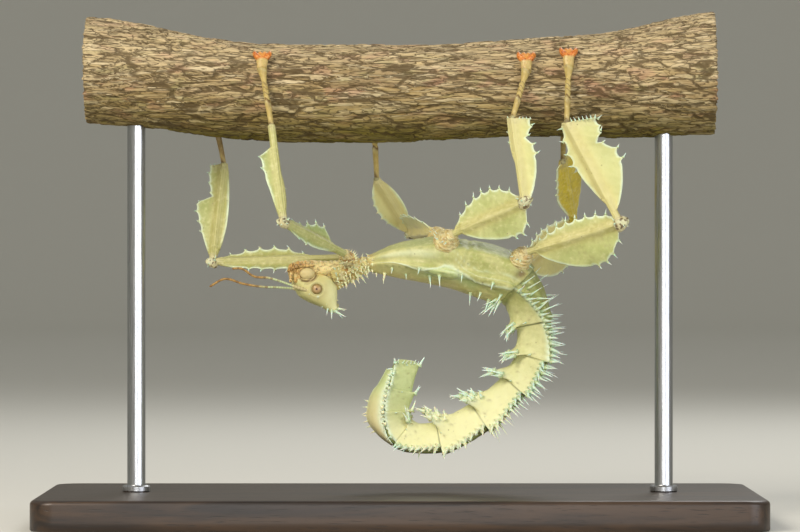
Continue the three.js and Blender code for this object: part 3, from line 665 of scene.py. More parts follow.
# %% The trunk's rows
# x, z, width, crest (toward the back), margin's drop, belly, roll in degrees
TRUNK = [
    (-11.2, 40.5, 1.6, 2.5, 0, 1.2, 8),
    (-7.8, 41.8, 2.0, 1.9, 0, 1.6, 10),
    (-5.3, 42.6, 1.3, 1.5, 0, 1.2, 12),
    (0, 43.3, 3.0, 3.2, 0, 2.6, 15),
    (6, 42.6, 4.4, 3.5, 0, 4.3, 15),
    (10.2, 42.1, 4.5, 4.1, 0, 4.2, 15),
    (14.2, 41.1, 4.8, 4.5, 0, 4.5, 15),
    (18.9, 38.7, 4.8, 4.2, 0.8, 4.4, 12),
    (21.6, 32.6, 4.1, 3.1, 2.5, 3.5, 5),
    (21.5, 27.2, 3.9, 2.9, 2.6, 3.3, 0),
    (18.6, 22.6, 3.8, 2.7, 2.3, 3.0, 0),
    (12.9, 17.7, 3.8, 2.8, 2.5, 3.4, 0),
    (6.3, 14.4, 3.5, 2.7, 2.3, 3.2, 0),
    (0.6, 15.0, 3.1, 2.0, 2.1, 2.9, 0),
    (-0.4, 18.5, 2.7, 2.3, 1.9, 2.4, 0),
    (0.2, 21.9, 2.2, 2.3, 2.0, 2.4, 0),
    (0.9, 25.4, 1.5, 2.1, 1.8, 2.1, 0),
]
LAST_ROW = len(TRUNK) - 1
PROTHORAX_END, METATHORAX_START, ABDOMEN_START = 2, 5, 7  # rows of the seams
MARGIN, BELLY, ROUND = 3, 7, 14  # places round the section from its crest, and the whole way round
SEGMENT = {"front": 0.9, "swell": 0.13, "lip": 0.968}
trunk_axis = path_through([(x, 0, z) for x, z, *_ in TRUNK])
trunk_sizes = smooth([sizes for _, _, *sizes in TRUNK])


# %% The section's outline, and the bare surface
def trunk_frame(row):
    """The axis point and the unit directions right, back and ahead."""
    t = row / LAST_ROW
    ahead = headings(trunk_axis, t)
    nothing = np.zeros_like(t)
    up = np.stack([ahead[:, 2], nothing, -ahead[:, 0]], -1)
    level = np.array([0.0, RIGHT, 0.0])
    roll = np.radians(trunk_sizes(t)[:, 4])[:, None]
    right = level * np.cos(roll) + up * np.sin(roll)
    back = up * np.cos(roll) - level * np.sin(roll)
    return trunk_axis(t), right, back, ahead


def along_segment(row):
    return np.where(row < ABDOMEN_START, 0.5, np.minimum(row - np.floor(row), 1.0))


def section_points(row, lipped):
    """The section's 14 outline points as (out, toward the back), for each row."""
    width, crest, margin, belly, _ = trunk_sizes(row / LAST_ROW).T
    along = along_segment(row) if lipped else 0.6
    scale = SEGMENT["front"] + SEGMENT["swell"] * along**2
    if lipped:
        scale += (SEGMENT["front"] - scale) * ease(SEGMENT["lip"], 1.0, along)
    scale = np.where(row < ABDOMEN_START, 1.0, scale)
    scale = np.where(row >= LAST_ROW, 1.0, scale)
    width, margin, belly, crest = width * scale, margin * scale, belly * scale, crest * scale**2
    flare = along * (1 - ease(SEGMENT["lip"], 1.0, along)) if lipped else 0.6
    margin = margin * (1 + 0.34 * (flare - 0.7) * ease(8.4, 9.4, row) * (1 - ease(12.9, 13.0, row)))
    drop = belly - margin
    half = [
        (0 * width, crest), (0.34 * width, 0.84 * crest - 0.08 * margin), (0.7 * width, 0.42 * crest - 0.5 * margin),
        (width, -margin), (0.88 * width, -margin - 0.3 * drop), (0.78 * width, -margin - 0.85 * drop),
        (0.4 * width, -belly), (0 * width, -1.04 * belly),
    ]
    half = np.array([np.stack(point, -1) for point in half]).transpose(1, 0, 2)
    return np.concatenate([half, half[:, 6:0:-1] * [-1, 1]], 1)


def trunk_bare(row, place, lipped=True):
    """Skin points without relief, for pairs of a row and a place round the section."""
    outline = section_points(row, lipped)
    cell = np.floor(place).astype(int)
    w = (place - cell)[:, None]
    each = np.arange(len(row))
    a, b, c, d = (outline[each, (cell + k) % ROUND] for k in (-1, 0, 1, 2))
    leave, arrive = (c - a) / 2, (d - b) / 2
    cubic, square = 2 * b - 2 * c + leave + arrive, -3 * b + 3 * c - 2 * leave - arrive
    flat = cubic * w**3 + square * w**2 + leave * w + b
    axis, right, back, _ = trunk_frame(row)
    return axis + right * flat[:, :1] + back * flat[:, 1:]


# %% [markdown]
# The relief is what tells a living skin from a tube: a keel along each margin with
# teeth, a ridge below it on the thorax, the flat buds where a male would have
# wings, folds at the neck, and fleshy lobes at the rear of the first segments. It
# could be sculpted, but soft hills and waves in code come out the same each time.

# %% Relief of the skin
LOBE_HEIGHT = {7: 1.2, 8: 1.7, 9: 2.0, 10: 2.5, 11: 2.6, 12: 1.2, 13: 0.2, 14: 0.15, 15: 0.1}
LOBE_START = {7: 0.68, 8: 0.66, 9: 0.52}
TEETH = {"count": 7, "length": 0.2}
CARINA = {"row": [2.1, 2.7, 3.2, 3.55, 3.9, 4.3, 4.65, 5.1, 5.7, 7.1],
          "place": [3.5, 3.4, 2.95, 2.6, 3.25, 3.8, 3.7, 2.9, 2.5, 2.8]}


def tooth(along, count):
    """A row of thorn-like teeth: 0 between them and 1 at their points."""
    part = along * count - np.floor(along * count)
    return part**2.2 * (1 - ease(0.86, 1.0, part))


def trunk_relief(row, place, points):
    """How far the skin stands out, and the masks that its finish reads."""
    side = np.minimum(place, ROUND - place)
    along = along_segment(row)
    on_abdomen = ease(ABDOMEN_START - 0.15, ABDOMEN_START + 0.15, row)
    on_thorax = ease(2.1, 2.7, row) * (1 - on_abdomen)
    on_neck = 1 - ease(1.7, 2.4, row)
    wander = noise(points, 3.0, 5)
    lift = 0.05 * noise(points, 0.9, 1) + 0.025 * noise(points, 0.4, 2) + 0.1 * noise(points, 3.2, 3)
    keel = bump(side, MARGIN, 0.2)
    carina = np.interp(row, CARINA["row"], CARINA["place"])
    thread = bump(side, carina, 0.11 + 0.2 * bump(row, 5.0, 0.45)) * (0.75 + 0.25 * noise(points, 0.6, 34))
    hem = ease(3.3, 3.8, row) * ease(6.2, 5.4, row) * ease(-1.5, -1.0, side - carina) * ease(0.1, -0.2, side - carina)
    lift += keel * on_abdomen * (0.1 + TEETH["length"] * tooth(along, TEETH["count"]))
    strand = bump(side, carina + 0.75 + 0.15 * wander, 0.06) + bump(side, carina + 1.3 + 0.25 * wander, 0.05)
    strand *= ease(4.3, 5.0, row) * on_thorax
    lift += 0.07 * strand
    lift += on_thorax * (thread * (0.14 + 0.2 * tooth(row * 3.5, 1)) - 0.12 * hem)
    ridge = bump(side, 4.55 + 0.1 * wander, 0.3)
    lines = 0.5 + 0.5 * np.cos(side * 15 + row + 1.6 * noise(points, 2.5, 35))
    lift += on_thorax * (0.16 * ridge - 0.14 * bump(side, 3.75, 0.35))
    lift -= on_thorax * 0.2 * bump(side, 2.1, 0.28) * ease(4.2, 5.4, row)
    bud = bump(row, 4.3, 0.75) * bump(side, 2.75 - 0.25 * (row - 4), 0.55)
    lift += 0.3 * ease(0.2, 0.7, bud)
    folds = np.sin(row * 26 + 3.6 * noise(points, 1.2, 7) + side) * bump(row, 0.9, 1.0)
    lift += on_neck * (0.1 * noise(points, 0.75, 31) + 0.06 * noise(points, 0.35, 32))
    lift += 0.07 * folds + 0.06 * np.sin(row * 17 + side) * bump(row, METATHORAX_START, 0.5) * (side > 3)
    wrinkle = np.sin(along * 30 + 2 * wander) * ease(0.55, 0.9, along) * on_abdomen
    lift += 0.018 * wrinkle
    lobe = 0
    for first, height in LOBE_HEIGHT.items():
        rise = ease(first + LOBE_START.get(first, 0.4), first + 0.86, row)
        rise = rise * (1 - ease(first + 0.9, first + 0.985, row))
        lobe = lobe + height * rise**1.4
    lobe = lobe * bump(side, 0.85, 0.62) * (1 + 0.2 * noise(points, 0.7, 6))
    # the pit behind each hind hip
    pit = bump(np.hypot(0.6 * (points[:, 0] - 19.9), points[:, 2] - 40.9) + 0.25 * noise(points, 0.8, 38), 0, 0.6)
    pit *= on_thorax * ease(0.8, 1.6, np.abs(points[:, 1]))
    lift -= 0.35 * pit
    seams = bump(row, PROTHORAX_END, 0.05)
    seams += 0.3 * bump(row, METATHORAX_START + 0.1 * (side - 4), 0.06) * ease(3, 4.5, side)
    seams += 0.6 * bump(row, ABDOMEN_START + 0.12 * (MARGIN - side), 0.07)
    lift -= 0.22 * seams
    spots = bump(side, 2.62, 0.14) * ease(0.1, 0.7, np.sin(row * 30)) * bump(row, 3.1, 0.6)
    spots += bump(side, 5.0, 0.13) * ease(0.1, 0.7, np.sin(row * 22)) * bump(row, 3.5, 0.6)
    dots = bump(along, 0.86, 0.025) * bump(side, 2.1, 0.1) + bump(along, 0.6, 0.025) * bump(side, 1.6, 0.1)
    crease = (ease(0.978, 0.996, along) + bump(along, 0.0, 0.008)) * on_abdomen * (1 - 0.75 * ease(13.4, 13.9, row))
    back_side = ease(4.2, 3.3, side)
    # painted light: the lit backs of the middle segments, the tail's end, a patch on the mesothorax and the thorax's
    # downward wall are painted lighter
    bright = np.clip(ease(7.0, 8.2, row) * 0.5 + 0.35 * ease(8.6, 11.2, row), 0, 1) * ease(14.4, 13.2, row)
    bright = bright * back_side + 0.35 * bump(row, 2.9, 0.6) + 0.2 * on_thorax * ease(2.6, 1.4, side)
    masks = {
        "seam": np.clip(crease * (0.65 + 0.35 * noise(points, 1.5, 8)) + 0.3 * seams, 0, 1),
        "rim": np.clip(0.35 * strand + keel * on_abdomen * 0.9 + thread * on_thorax * 0.85
                       + 0.45 * ease(0.5, 1.9, lobe) + 0.35 * on_thorax * bump(bud, 0.4, 0.12)
                       + 0.32 * ridge * on_thorax * (1 - ease(3.6, 4.4, row)), 0, 1),
        "warm": np.clip(0.75 * on_neck + 0.2 * bump(row, 2.4, 0.8) + 0.4 * on_thorax * ease(2.2, 1.2, side), 0, 1),
        "bright": bright + 0.45 * ease(13.4, 14.4, row) * back_side,
        "green": np.clip(ease(12.8, 15.2, row) * 0.7 + 0.85 * hem
                         + 0.4 * on_thorax * ease(4.9, 5.6, side), 0, 1),
        # painted shade on the abdomen's underside, the thorax's far edge and its downward wall; the spots are the
        # skin's own
        "shade": np.clip(on_abdomen * ease(3.3, 4.0, side) + 0.5 * on_thorax * ease(5.1, 5.8, side)
                         + 0.12 * on_thorax * ease(2.7, 1.6, side) + 0.9 * spots, 0, 1),
        "vein": 0.6 * on_thorax * lines * ease(6.0, 5.0, side) * ease(-0.4, 0.5, noise(points, 1.6, 37)),
        "busy": np.clip(on_neck * 1.2 * ease(-0.6, 0.2, noise(points, 1.5, 36)), 0, 1),
        "rust": np.clip(0.5 * on_neck * ease(0.1, 0.6, noise(points, 0.6, 33)), 0, 1),
        # painted shade in the neck's fold troughs and in the pits behind the hind hips; the dots on the segments are
        # the skin's own
        "fold": np.clip(np.clip(-0.8 * folds - 0.2, 0, 1) * 0.6 * bump(row, 0.8, 0.9)
                        + 0.6 * dots * on_abdomen + 1.2 * pit, 0, 1),
    }
    return lift + lobe, lobe, masks


def trunk_surface(row, place):
    """Skin points with relief, their normals and masks, for pairs of row and place."""
    row, place = np.atleast_1d(np.asarray(row, float)), np.atleast_1d(np.asarray(place, float)) % ROUND
    even = trunk_bare(row, place, False)
    further = trunk_bare(np.minimum(row + 0.02, LAST_ROW), place, False)
    further -= trunk_bare(np.minimum(row + 0.02, LAST_ROW) - 0.02, place, False)
    around = trunk_bare(row, (place + 0.02) % ROUND, False) - even
    normal = unit(np.cross(around, further))
    axis, *_ = trunk_frame(row)
    normal *= np.sign(np.einsum("ij,ij->i", normal, even - axis))[:, None]
    bare = trunk_bare(row, place)
    lift, lobe, masks = trunk_relief(row, place, bare)
    _, _, back, ahead = trunk_frame(row)
    side = np.minimum(place, ROUND - place)
    skirt = bump(side, MARGIN + 0.12, 0.3) * ease(7.6, 9.2, row) * (1 - ease(14.2, 15.2, row))
    uneven = 0.6 + 0.4 * np.sin(np.floor(row * TEETH["count"]) * 12.9)
    skirt = skirt * (0.12 + 1.15 * uneven * tooth(along_segment(row), TEETH["count"]))
    slant = 1.2 * ease(LAST_ROW - 1, LAST_ROW, row) * ease(BELLY, 0, side)
    return bare + normal * lift[:, None] - back * skirt[:, None] + ahead * (0.7 * lobe + slant)[:, None], normal, masks


# %% The trunk's mesh
def trunk_skin():
    steps = np.concatenate([np.linspace(0, 0.9, 26, endpoint=False), [0.9, 0.93, 0.955, 0.968, 0.976, 0.984, 0.992]])
    rows = np.concatenate([row + steps for row in range(LAST_ROW)] + [[LAST_ROW - 0.001]])
    half = np.concatenate([np.linspace(0, 2, 14, endpoint=False), np.linspace(2, 4, 20, endpoint=False),
                           np.linspace(4, 7, 17, endpoint=False)])
    places = np.concatenate([half, [BELLY], ROUND - half[:0:-1]])
    row, place = (grid.ravel() for grid in np.meshgrid(rows, places, indexing="ij"))
    points, _, masks = trunk_surface(row, place)
    rings = points.reshape(len(rows), len(places), 3)
    masks = {key: mask.reshape(len(rows), len(places)) for key, mask in masks.items()}
    *_, ahead = trunk_frame(np.array([float(LAST_ROW)]))
    middle = rings[-1].mean(0)
    dome = ((0.85, 0.3), (0.5, 0.5), (0.15, 0.55))
    tips = [middle + (rings[-1] - middle) * share + ahead * out for share, out in dome]
    rings = np.concatenate([rings, tips])
    masks = {key: np.concatenate([mask, [mask[-1]] * 3]) for key, mask in masks.items()}
    print("trunk:", len(rows), "rings of", len(places), "points")
    return shell(rings, **masks)


# %% [markdown]
# ## The plate under the tail
#
# A female lays through a keeled plate under her last segments. It could be pulled out
# of the trunk's skin, but its free edges would tear that, so it is a trough with its
# own edges, closed off on top, that lies on the belly side of the tail.

# %% The operculum
PLATE = {"from": 13.0, "to": 15.8, "depth": [-0.5, 1.9, 1.7, 0.8, 0.3], "width": 0.85, "clear": 1.1}
plate_depth = smooth(PLATE["depth"])


def plate_point(share, angle):
    """A point at a share of the plate's length, 0 at one edge to 180 at the other."""
    row = PLATE["from"] + (PLATE["to"] - PLATE["from"]) * share
    axis, right, back, _ = trunk_frame(row)
    width, _, _, belly, _ = trunk_sizes(row / LAST_ROW).T
    top = belly * 0.92
    depth = plate_depth(share) + 0.2 + 0.22 * belly
    turn = np.radians(angle)
    out = np.cos(turn) * width * PLATE["width"]
    down = top + depth * np.sin(turn) ** 0.8
    return axis + right * out[:, None] - back * down[:, None]


def plate_skin():
    shares = np.linspace(0, 1, 90)
    angles = np.linspace(0, 180, 40)
    share, angle = (grid.ravel() for grid in np.meshgrid(shares, angles, indexing="ij"))
    points = plate_point(share, angle)
    edge = bump(angle, 0, 16) + bump(angle, 180, 16)
    teeth = tooth(share, 15)
    _, right, back, _ = trunk_frame(PLATE["from"] + (PLATE["to"] - PLATE["from"]) * share)
    side = np.sign(90 - angle)[:, None]
    flare = edge * (0.05 + 0.12 * teeth)
    points = points + right * side * flare[:, None] + back * (edge * 0.12 * teeth)[:, None]
    points = points - back * (0.16 * bump(angle, 90, 9) + 0.04 * noise(points, 0.8, 9))[:, None]
    shape = (len(shares), len(angles))
    masks = {
        "rim": np.clip(edge + 0.4 * bump(angle, 90, 10), 0, 1),
        "green": 0.85 * ease(0.1, 0.75, share),
        # painted light: the whole plate is painted lighter, its shaded side too
        "bright": 0.85 + 0 * share,
        "blush": 0.6 * ease(0.75, 0.3, share),
    }
    return shell(points.reshape(*shape, 3), **{key: mask.reshape(shape) for key, mask in masks.items()})
# %% [markdown]
# ## The head
#
# The head is a tall cone: the mouth at the top left, because the insect hangs, and
# the crown with its thorns below. It is a loft between the two, and its features
# are hills and creases placed on its side view: the socket round the eye, the dome
# of the jaw, the fold behind it, and the collar at the rear. A subdivided cage could
# do the same, but would need a loop of faces for each crease.

# %% The head's form
HEAD = {
    "mouth": np.array([-16.5, 0, 40.5]), "crown": np.array([-10.9, 0, 35.2]),
    "face": [1.9, 2.5, 2.15, 1.4, 0.95], "nape": [1.9, 2.8, 3.9, 2.95, 1.15], "width": [1.5, 2.0, 2.15, 1.75, 1.0],
}
EYE = {"x": -13.7, "z": 38.45, "out": 1.92, "radius": 0.98}
head_along = unit(HEAD["crown"] - HEAD["mouth"])
head_forward = np.array([head_along[2], 0, -head_along[0]])
head_sizes = smooth(np.array([HEAD["face"], HEAD["nape"], HEAD["width"]]).T)


def head_bare(t, degrees):
    face, nape, width = head_sizes(t).T
    turn = np.radians(degrees)
    front = np.cos(turn) * np.where(np.cos(turn) > 0, face, nape)
    spine = HEAD["mouth"] + (HEAD["crown"] - HEAD["mouth"]) * t[:, None]
    return spine + head_forward * front[:, None] + np.array([0, RIGHT, 0]) * (width * np.sin(turn))[:, None]


# %% Its features, placed in side view
def from_spot(points, x, z):
    """How far points are from a spot, as the side view shows it."""
    return np.hypot(points[:, 0] - x, points[:, 2] - z)


def from_stroke(points, spots):
    """How far points are from a bent line, as the side view shows it."""
    flat = points[:, [0, 2]]
    best = np.full(len(flat), 99.0)
    for a, b in zip(spots, spots[1:]):
        a, b = np.array(a), np.array(b)
        share = np.clip((flat - a) @ (b - a) / ((b - a) @ (b - a)), 0, 1)
        best = np.minimum(best, np.linalg.norm(flat - a - share[:, None] * (b - a), axis=1))
    return best


JAW = {"x": -15.32, "z": 40.98, "long": 1.35, "high": 1.08}
CHEEK_FOLD = [(-16.3, 39.8), (-15.3, 39.75), (-14.5, 40.35), (-13.9, 41.3)]
BROW_FOLD = [(-15.6, 39.2), (-14.6, 39.6), (-13.9, 40.2), (-13.3, 41.2)]
COLLAR_FOLD = [(-13.5, 41.2), (-12.3, 40.9), (-11.1, 40.15), (-10.25, 38.9), (-10.15, 37.3), (-10.3, 35.2)]


def head_relief(points):
    """How far the head's skin stands out, and its masks."""
    on_side = ease(0.5, 1.3, np.abs(points[:, 1]))
    eye = from_spot(points, EYE["x"], EYE["z"])
    jaw = np.hypot((points[:, 0] - JAW["x"]) / JAW["long"], (points[:, 2] - JAW["z"]) / JAW["high"]) * 1.2
    lift = 0.015 * noise(points, 0.5, 11) + 0.05 * noise(points, 1.4, 12)
    lift += on_side * (0.07 * bump(eye, 1.25, 0.3) - 0.3 * (1 - ease(0.6, 0.98, eye)))
    lift -= on_side * 0.2 * bump(jaw, 1.38, 0.16)
    cheek = bump(from_stroke(points, CHEEK_FOLD), 0, 0.13)
    collar = bump(from_stroke(points, COLLAR_FOLD), 0, 0.14)
    brow = bump(from_stroke(points, BROW_FOLD), 0, 0.3)
    lift += -0.22 * cheek * on_side - 0.16 * collar - 0.12 * bump(brow, 1, 0.4) * on_side
    from_face = ((points[:, 0] + 17.8) * 2.5 + (points[:, 2] - 38.3) * 3.8) / 4.55  # its lower edge is in shade
    spot = 0.1 * bump(from_spot(points, -13.5, 37.2), 0, 0.22) * on_side
    masks = {
        # painted shade in the creases at the cheek, round the jaw's dome and the eye's socket, along the brow and at
        # the collar
        "fold": np.clip(on_side * (0.9 * cheek + 0.8 * bump(jaw, 1.36, 0.14) + 0.55 * bump(eye, 1.03, 0.07)
                                   + 0.3 * bump(brow, 0.9, 0.3)) + 0.7 * collar, 0, 1),
        "warm": np.clip(0.75 * ease(39.8, 41.8, points[:, 2]) + 0.5 * (1 - ease(0.9, 1.7, jaw)) * on_side, 0, 1),
        "head": np.ones(len(points)),
        "shade": 0.45 * ease(1.2, 0.0, from_face),
        "rim": np.clip(spot * 6, 0, 0.6),
        # painted light toward the crown
        "bright": 0.55 * ease(-13, -10.6, points[:, 0]) * ease(40.5, 38, points[:, 2]),
        "busy": ease(40.6, 41.6, points[:, 2] + 0.25 * points[:, 0] + 3.6),
        "blush": np.clip(0.9 * ease(1.8, 1.1, jaw) * on_side + 0.3 * bump(eye, 1.5, 0.5), 0, 1),
    }
    return lift + spot, masks


def head_surface(t, degrees):
    t, degrees = np.atleast_1d(np.asarray(t, float)), np.atleast_1d(np.asarray(degrees, float))
    bare = head_bare(t, degrees)
    around = head_bare(t, degrees + 1) - bare
    further = head_bare(np.minimum(t + 0.01, 1), degrees) - head_bare(np.minimum(t + 0.01, 1) - 0.01, degrees)
    normal = unit(np.cross(around, further))
    middle = HEAD["mouth"] + (HEAD["crown"] - HEAD["mouth"]) * t[:, None]
    normal *= np.sign(np.einsum("ij,ij->i", normal, bare - middle))[:, None]
    lift, masks = head_relief(bare)
    return bare + normal * lift[:, None], normal, masks


def head_skin():
    count, around = 140, 136
    t, degrees = np.meshgrid(np.linspace(0, 1, count), np.arange(around) / around * 360, indexing="ij")
    points, _, masks = head_surface(t.ravel(), degrees.ravel())
    rings = points.reshape(count, around, 3)
    masks = {key: mask.reshape(count, around) for key, mask in masks.items()}
    dome = ((0.97, 0.16), (0.86, 0.34), (0.55, 0.5), (0.15, 0.56))
    for end, direction in ((0, -1), (-1, 1)):
        middle = rings[end].mean(0)
        cap = [middle + (rings[end] - middle) * share + head_along * direction * out for share, out in dome]
        cap = cap if end else cap[::-1]
        rings = np.concatenate([rings, cap] if end else [cap, rings])
        for key, mask in masks.items():
            same = [mask[end]] * 4
            masks[key] = np.concatenate([mask, same] if end else [same, mask])
    return shell(rings, **masks)


# %% [markdown]
# ## The hips
#
# Each leg starts with a barrel, the coxa, whose soft skin folds in rings. Booleans
# could weld it to the body, but they leave ragged faces, so body, head, hips and tail
# plate are closed shells that overlap, joined in one piece.

# %% Hips and the body in one piece
# leg: root, hip and the barrel's radii at both ends and the middle
HIPS = {
    "fore_right": ((-7.7, 0.9, 42.4), (-9.0, 2.7, 44.2), (1.0, 1.25, 0.8)),
    "fore_left": ((-7.7, 0.9, 42.4), (-9.6, 2.9, 43.6), (1.0, 1.25, 0.8)),
    "mid_right": ((7, 2.2, 45.2), (8.4, 4.4, 47.4), (1.8, 2.1, 1.0)),
    "mid_left": ((7, 2.2, 45.4), (6, 4.6, 47.9), (1.8, 2.1, 1.0)),
    "hind_right": ((19.2, 2.4, 42.4), (20.6, 4.6, 44.5), (1.6, 1.9, 1.0)),
    "hind_left": ((18.2, 2.4, 41.2), (19.4, 5, 41.4), (1.6, 1.9, 1.0)),
}


def to_side(place, side):
    """A place given as x, out from the middle plane, z."""
    return np.array([place[0], side * place[1], place[2]], float)


def side_of(leg):
    return RIGHT if leg.endswith("right") else LEFT


def hip_skin(leg):
    root, hip, radii = HIPS[leg]
    root, hip = to_side(root, side_of(leg)), to_side(hip, side_of(leg))
    reach = unit(hip - root) * 0.35
    path = smooth([root, (root + hip) / 2, hip + reach])
    skin = tube(path, smooth([radii[0], radii[1], radii[2] * 0.9]), 58, 46, (1, 0, 0),
                warm=lambda t: 0.75 - 0.35 * t, blush=lambda t: 0.5 + 0.5 * ease(0.3, 0.9, t),
                busy=lambda t: (0.9 if leg.startswith("fore") else 0.45) + 0 * t)
    share = ((skin["verts"] - root) @ unit(hip - root)) / np.linalg.norm(hip - root)
    wave = np.sin(share * 30 + 6.5 * noise(skin["verts"], 1.0, 21))
    wave += 0.7 * np.sin(share * 62 + 8.0 * noise(skin["verts"], 0.6, 22))
    middle = path(np.clip(share / 1.15, 0, 1))
    outward = unit(skin["verts"] - middle)
    shift = 0.05 * wave + 0.2 * noise(skin["verts"], 0.9, 23) + 0.1 * noise(skin["verts"], 0.4, 24)
    skin["verts"] = skin["verts"] + outward * shift[:, None]
    # painted highlight on the crests of the rings
    skin["masks"]["rim"] = np.clip(0.5 * wave - 0.35, 0, 0.5)
    # painted shade in the rings' troughs and in the pit under the barrel, where it meets the body
    under = ease(0.0, -0.8, outward[:, 2]) * ease(0.75, 0.3, share) * ease(-0.2, 0.4, noise(skin["verts"], 0.7, 25))
    skin["masks"]["fold"] = np.clip(np.clip(-wave * 0.45 - 0.3, 0, 1) + 0.6 * under, 0, 1)
    return skin


def jaw_skin(side):
    """The smooth dome of the jaw, in front of the throat's folds."""
    sizes = (0.95, JAW["long"], JAW["high"])
    centre = to_side((JAW["x"], 1.2, JAW["z"]), side)
    skin = ball(centre, (0, side, 0), (1, 0, 0.15), sizes, 36, 48, head=1.0, blush=1.0)
    verts = skin["verts"]
    around = np.hypot((verts[:, 0] - JAW["x"]) / JAW["long"], (verts[:, 2] - JAW["z"]) / JAW["high"])
    # painted shade: a dark line round the dome's edge, where it sinks into the head
    skin["masks"]["fold"] = np.clip(ease(0.78, 0.92, around) * ease(-14.0, -15.0, verts[:, 0]), 0, 1)
    return roughened(skin, 0.04, 0.8, 14)


body_skins = [trunk_skin(), head_skin(), plate_skin(), jaw_skin(RIGHT), jaw_skin(LEFT)]
body_mesh = mesh_of("body_skin", body_skins + [hip_skin(leg) for leg in HIPS])
# %% [markdown]
# ## The finish of the skin
#
# A stick insect's cuticle is thin, waxy chitin over soft tissue: matt to satin, a
# little translucent, freckled with brown and pale at every rim. One function makes
# the body's and the legs' finishes from the masks; only their base colours differ.

# %% Cuticle
CUTICLE = {
    # bright is the colour of the painted light
    "body": {"base": "b3b373", "deep": "9ea35c", "bright": "e8e6b0", "warm": "cdba72", "green": "b3c384"},
    "legs": {"base": "bfbf80", "deep": "a9ad66", "bright": "e0dd9e", "warm": "c0ac66", "green": "a4b774"},
}


CUTICLE_SURFACE = {
    "Roughness": 0.5, "Specular_IOR_Level": 0.4, "Subsurface_Weight": 0.12, "Subsurface_Scale": 0.4 * MM,
    "Subsurface_Radius": (1.0, 0.8, 0.35),
}


def paint_cuticle(tree, tones):
    bright, warm, green, blush, shade, amber, rust = masks_of(
        tree, "bright", "warm", "green", "blush", "shade", "amber", "rust")
    rim, seam, fold, head, vein, knee, busy = masks_of(
        tree, "rim", "seam", "fold", "head", "vein", "knee", "busy")
    clouds, pores = grain(tree, 2.6, 3.0), grain(tree, 0.16, 2.0)
    # the mottling is fainter on the head and where light is painted
    even = add(tree, "ShaderNodeMath", head, bright, operation="MAXIMUM")
    quiet = weighted(tree, 1.0, (even, -0.65))
    mottle = weighted(tree, 0.5, (weighted(tree, -0.5, (grain(tree, 0.7, 3.0, warp=0.3), 1.0)), quiet))
    # soft skin is creased into small pads, some straw, some rust, with painted shade in the creases
    edge, own = cells(tree, 0.58, (1.4, 1, 0.9), warp=0.6)
    pads = coated(tree, "a8722f", ("d3ba72", (own, 0.14, 0.24)), ("ece3ac", (own, 0.5, 0.7)))
    crease = product(tree, (edge, 0.12, 0.02), (clouds, 0.42, 0.6), busy)
    specks = add(tree, "ShaderNodeTexVoronoi", place_of(tree), 1 / 0.8, feature="F1")
    few = add(tree, "ShaderNodeSeparateXYZ", specks.node.outputs["Color"])
    dots = product(tree, (specks, 0.2, 0.08), (few, 0.9, 0.93))
    spots = weighted(tree, 0.0, (dots, 0.5), (product(tree, (mottle, 0.5, 0.62), knee), 0.85))
    colour = coated(
        tree, tones["base"],
        (tones["deep"], (clouds, 0.34, 0.66)),
        ("c3be80", head),
        # painted light
        (tones["bright"], bright),
        (tones["green"], green),
        (tones["warm"], warm),
        ("c9b480", blush, 0.75),
        # painted glow: amber for light shining through the far hind shin
        ("cab414", amber),
        ("b37f3c", rust, 0.75),
        # painted shade, and the trunk's own spots under the carina
        ("75803a", shade, 0.6),
        ("e9e3b4", (mottle, 0.5, 0.75), 0.3),
        ("94885a", (mottle, 0.5, 0.28), 0.3),
        (pads, busy, 0.75),
        ("e6dfae", vein, 0.32),
        ("cdc49c", knee, 0.75),
        ("d9e8cb", rim),
        ("5a4028", spots),
        # painted shade in folds, creases and pits, with the skin's own dots and dark joints
        ("5d4120", weighted(tree, 0.0, (fold, 0.8), (crease, 0.6))),
        ("4c5233", seam, 0.85),
    )
    return colour, (weighted(tree, 0.0, (mottle, 0.7), (pores, 0.35), (vein, 0.4), (crease, -0.9)), 0.09)


body_cuticle = finish("waxy body cuticle", lambda tree: paint_cuticle(tree, CUTICLE["body"]), **CUTICLE_SURFACE)
leg_cuticle = finish("waxy leaf-lobe cuticle", lambda tree: paint_cuticle(tree, CUTICLE["legs"]), **CUTICLE_SURFACE)
TRUNK_NODES = ["prothorax", "mesothorax", "metathorax"] + [f"abdomen_{n}" for n in range(1, 10)]
piece("body_skin", body_mesh, body_cuticle, "body_cuticle", "head", "operculum", *TRUNK_NODES,
      *[f"coxa_{leg}" for leg in HIPS])
# %% [markdown]
# ## The legs
#
# Femora and tibiae are rods with flat lobes on both sides, like holly leaves: the
# lobe's outline is scalloped between spines, its rim is pale and thin, and a band
# with fine lengthwise lines marks the rod inside. A blade function makes each from
# two ends and the starts, peaks and ends of its lobes; the shin's end and the foot's
# joints come from tapered tubes. One leg is one skin, so no seam shows at a knee.

# %% Where the legs go
# leg: knee, ankle, grip (x along the branch, degrees up its side), twist of femur and tibia
LEGS = {
    "fore_right": ((-18.7, 17, 49.3), (-20.9, 10, 65), (-22.5, 34), (0, -45)),
    "fore_left": ((-31.1, 6.3, 42.9), (-29.5, 10.4, 59.3), (-32.0, -13), (25, 0)),
    "mid_right": ((20.2, 9.4, 52.7), (18.3, 10.3, 66.3), (20.6, 30), (0, 0)),
    "mid_left": ((1.7, 17.5, 47.7), (-3.9, 10.4, 56.8), (-4.5, -30), (0, 70)),
    "hind_right": ((35.8, 10, 49.2), (27.1, 10.6, 65.6), (27.5, 32), (0, 0)),
    "hind_left": ((29.4, 16.7, 49.2), (27.0, 3.0, 59.5), (27.6, -20), (-35, 0)),
}
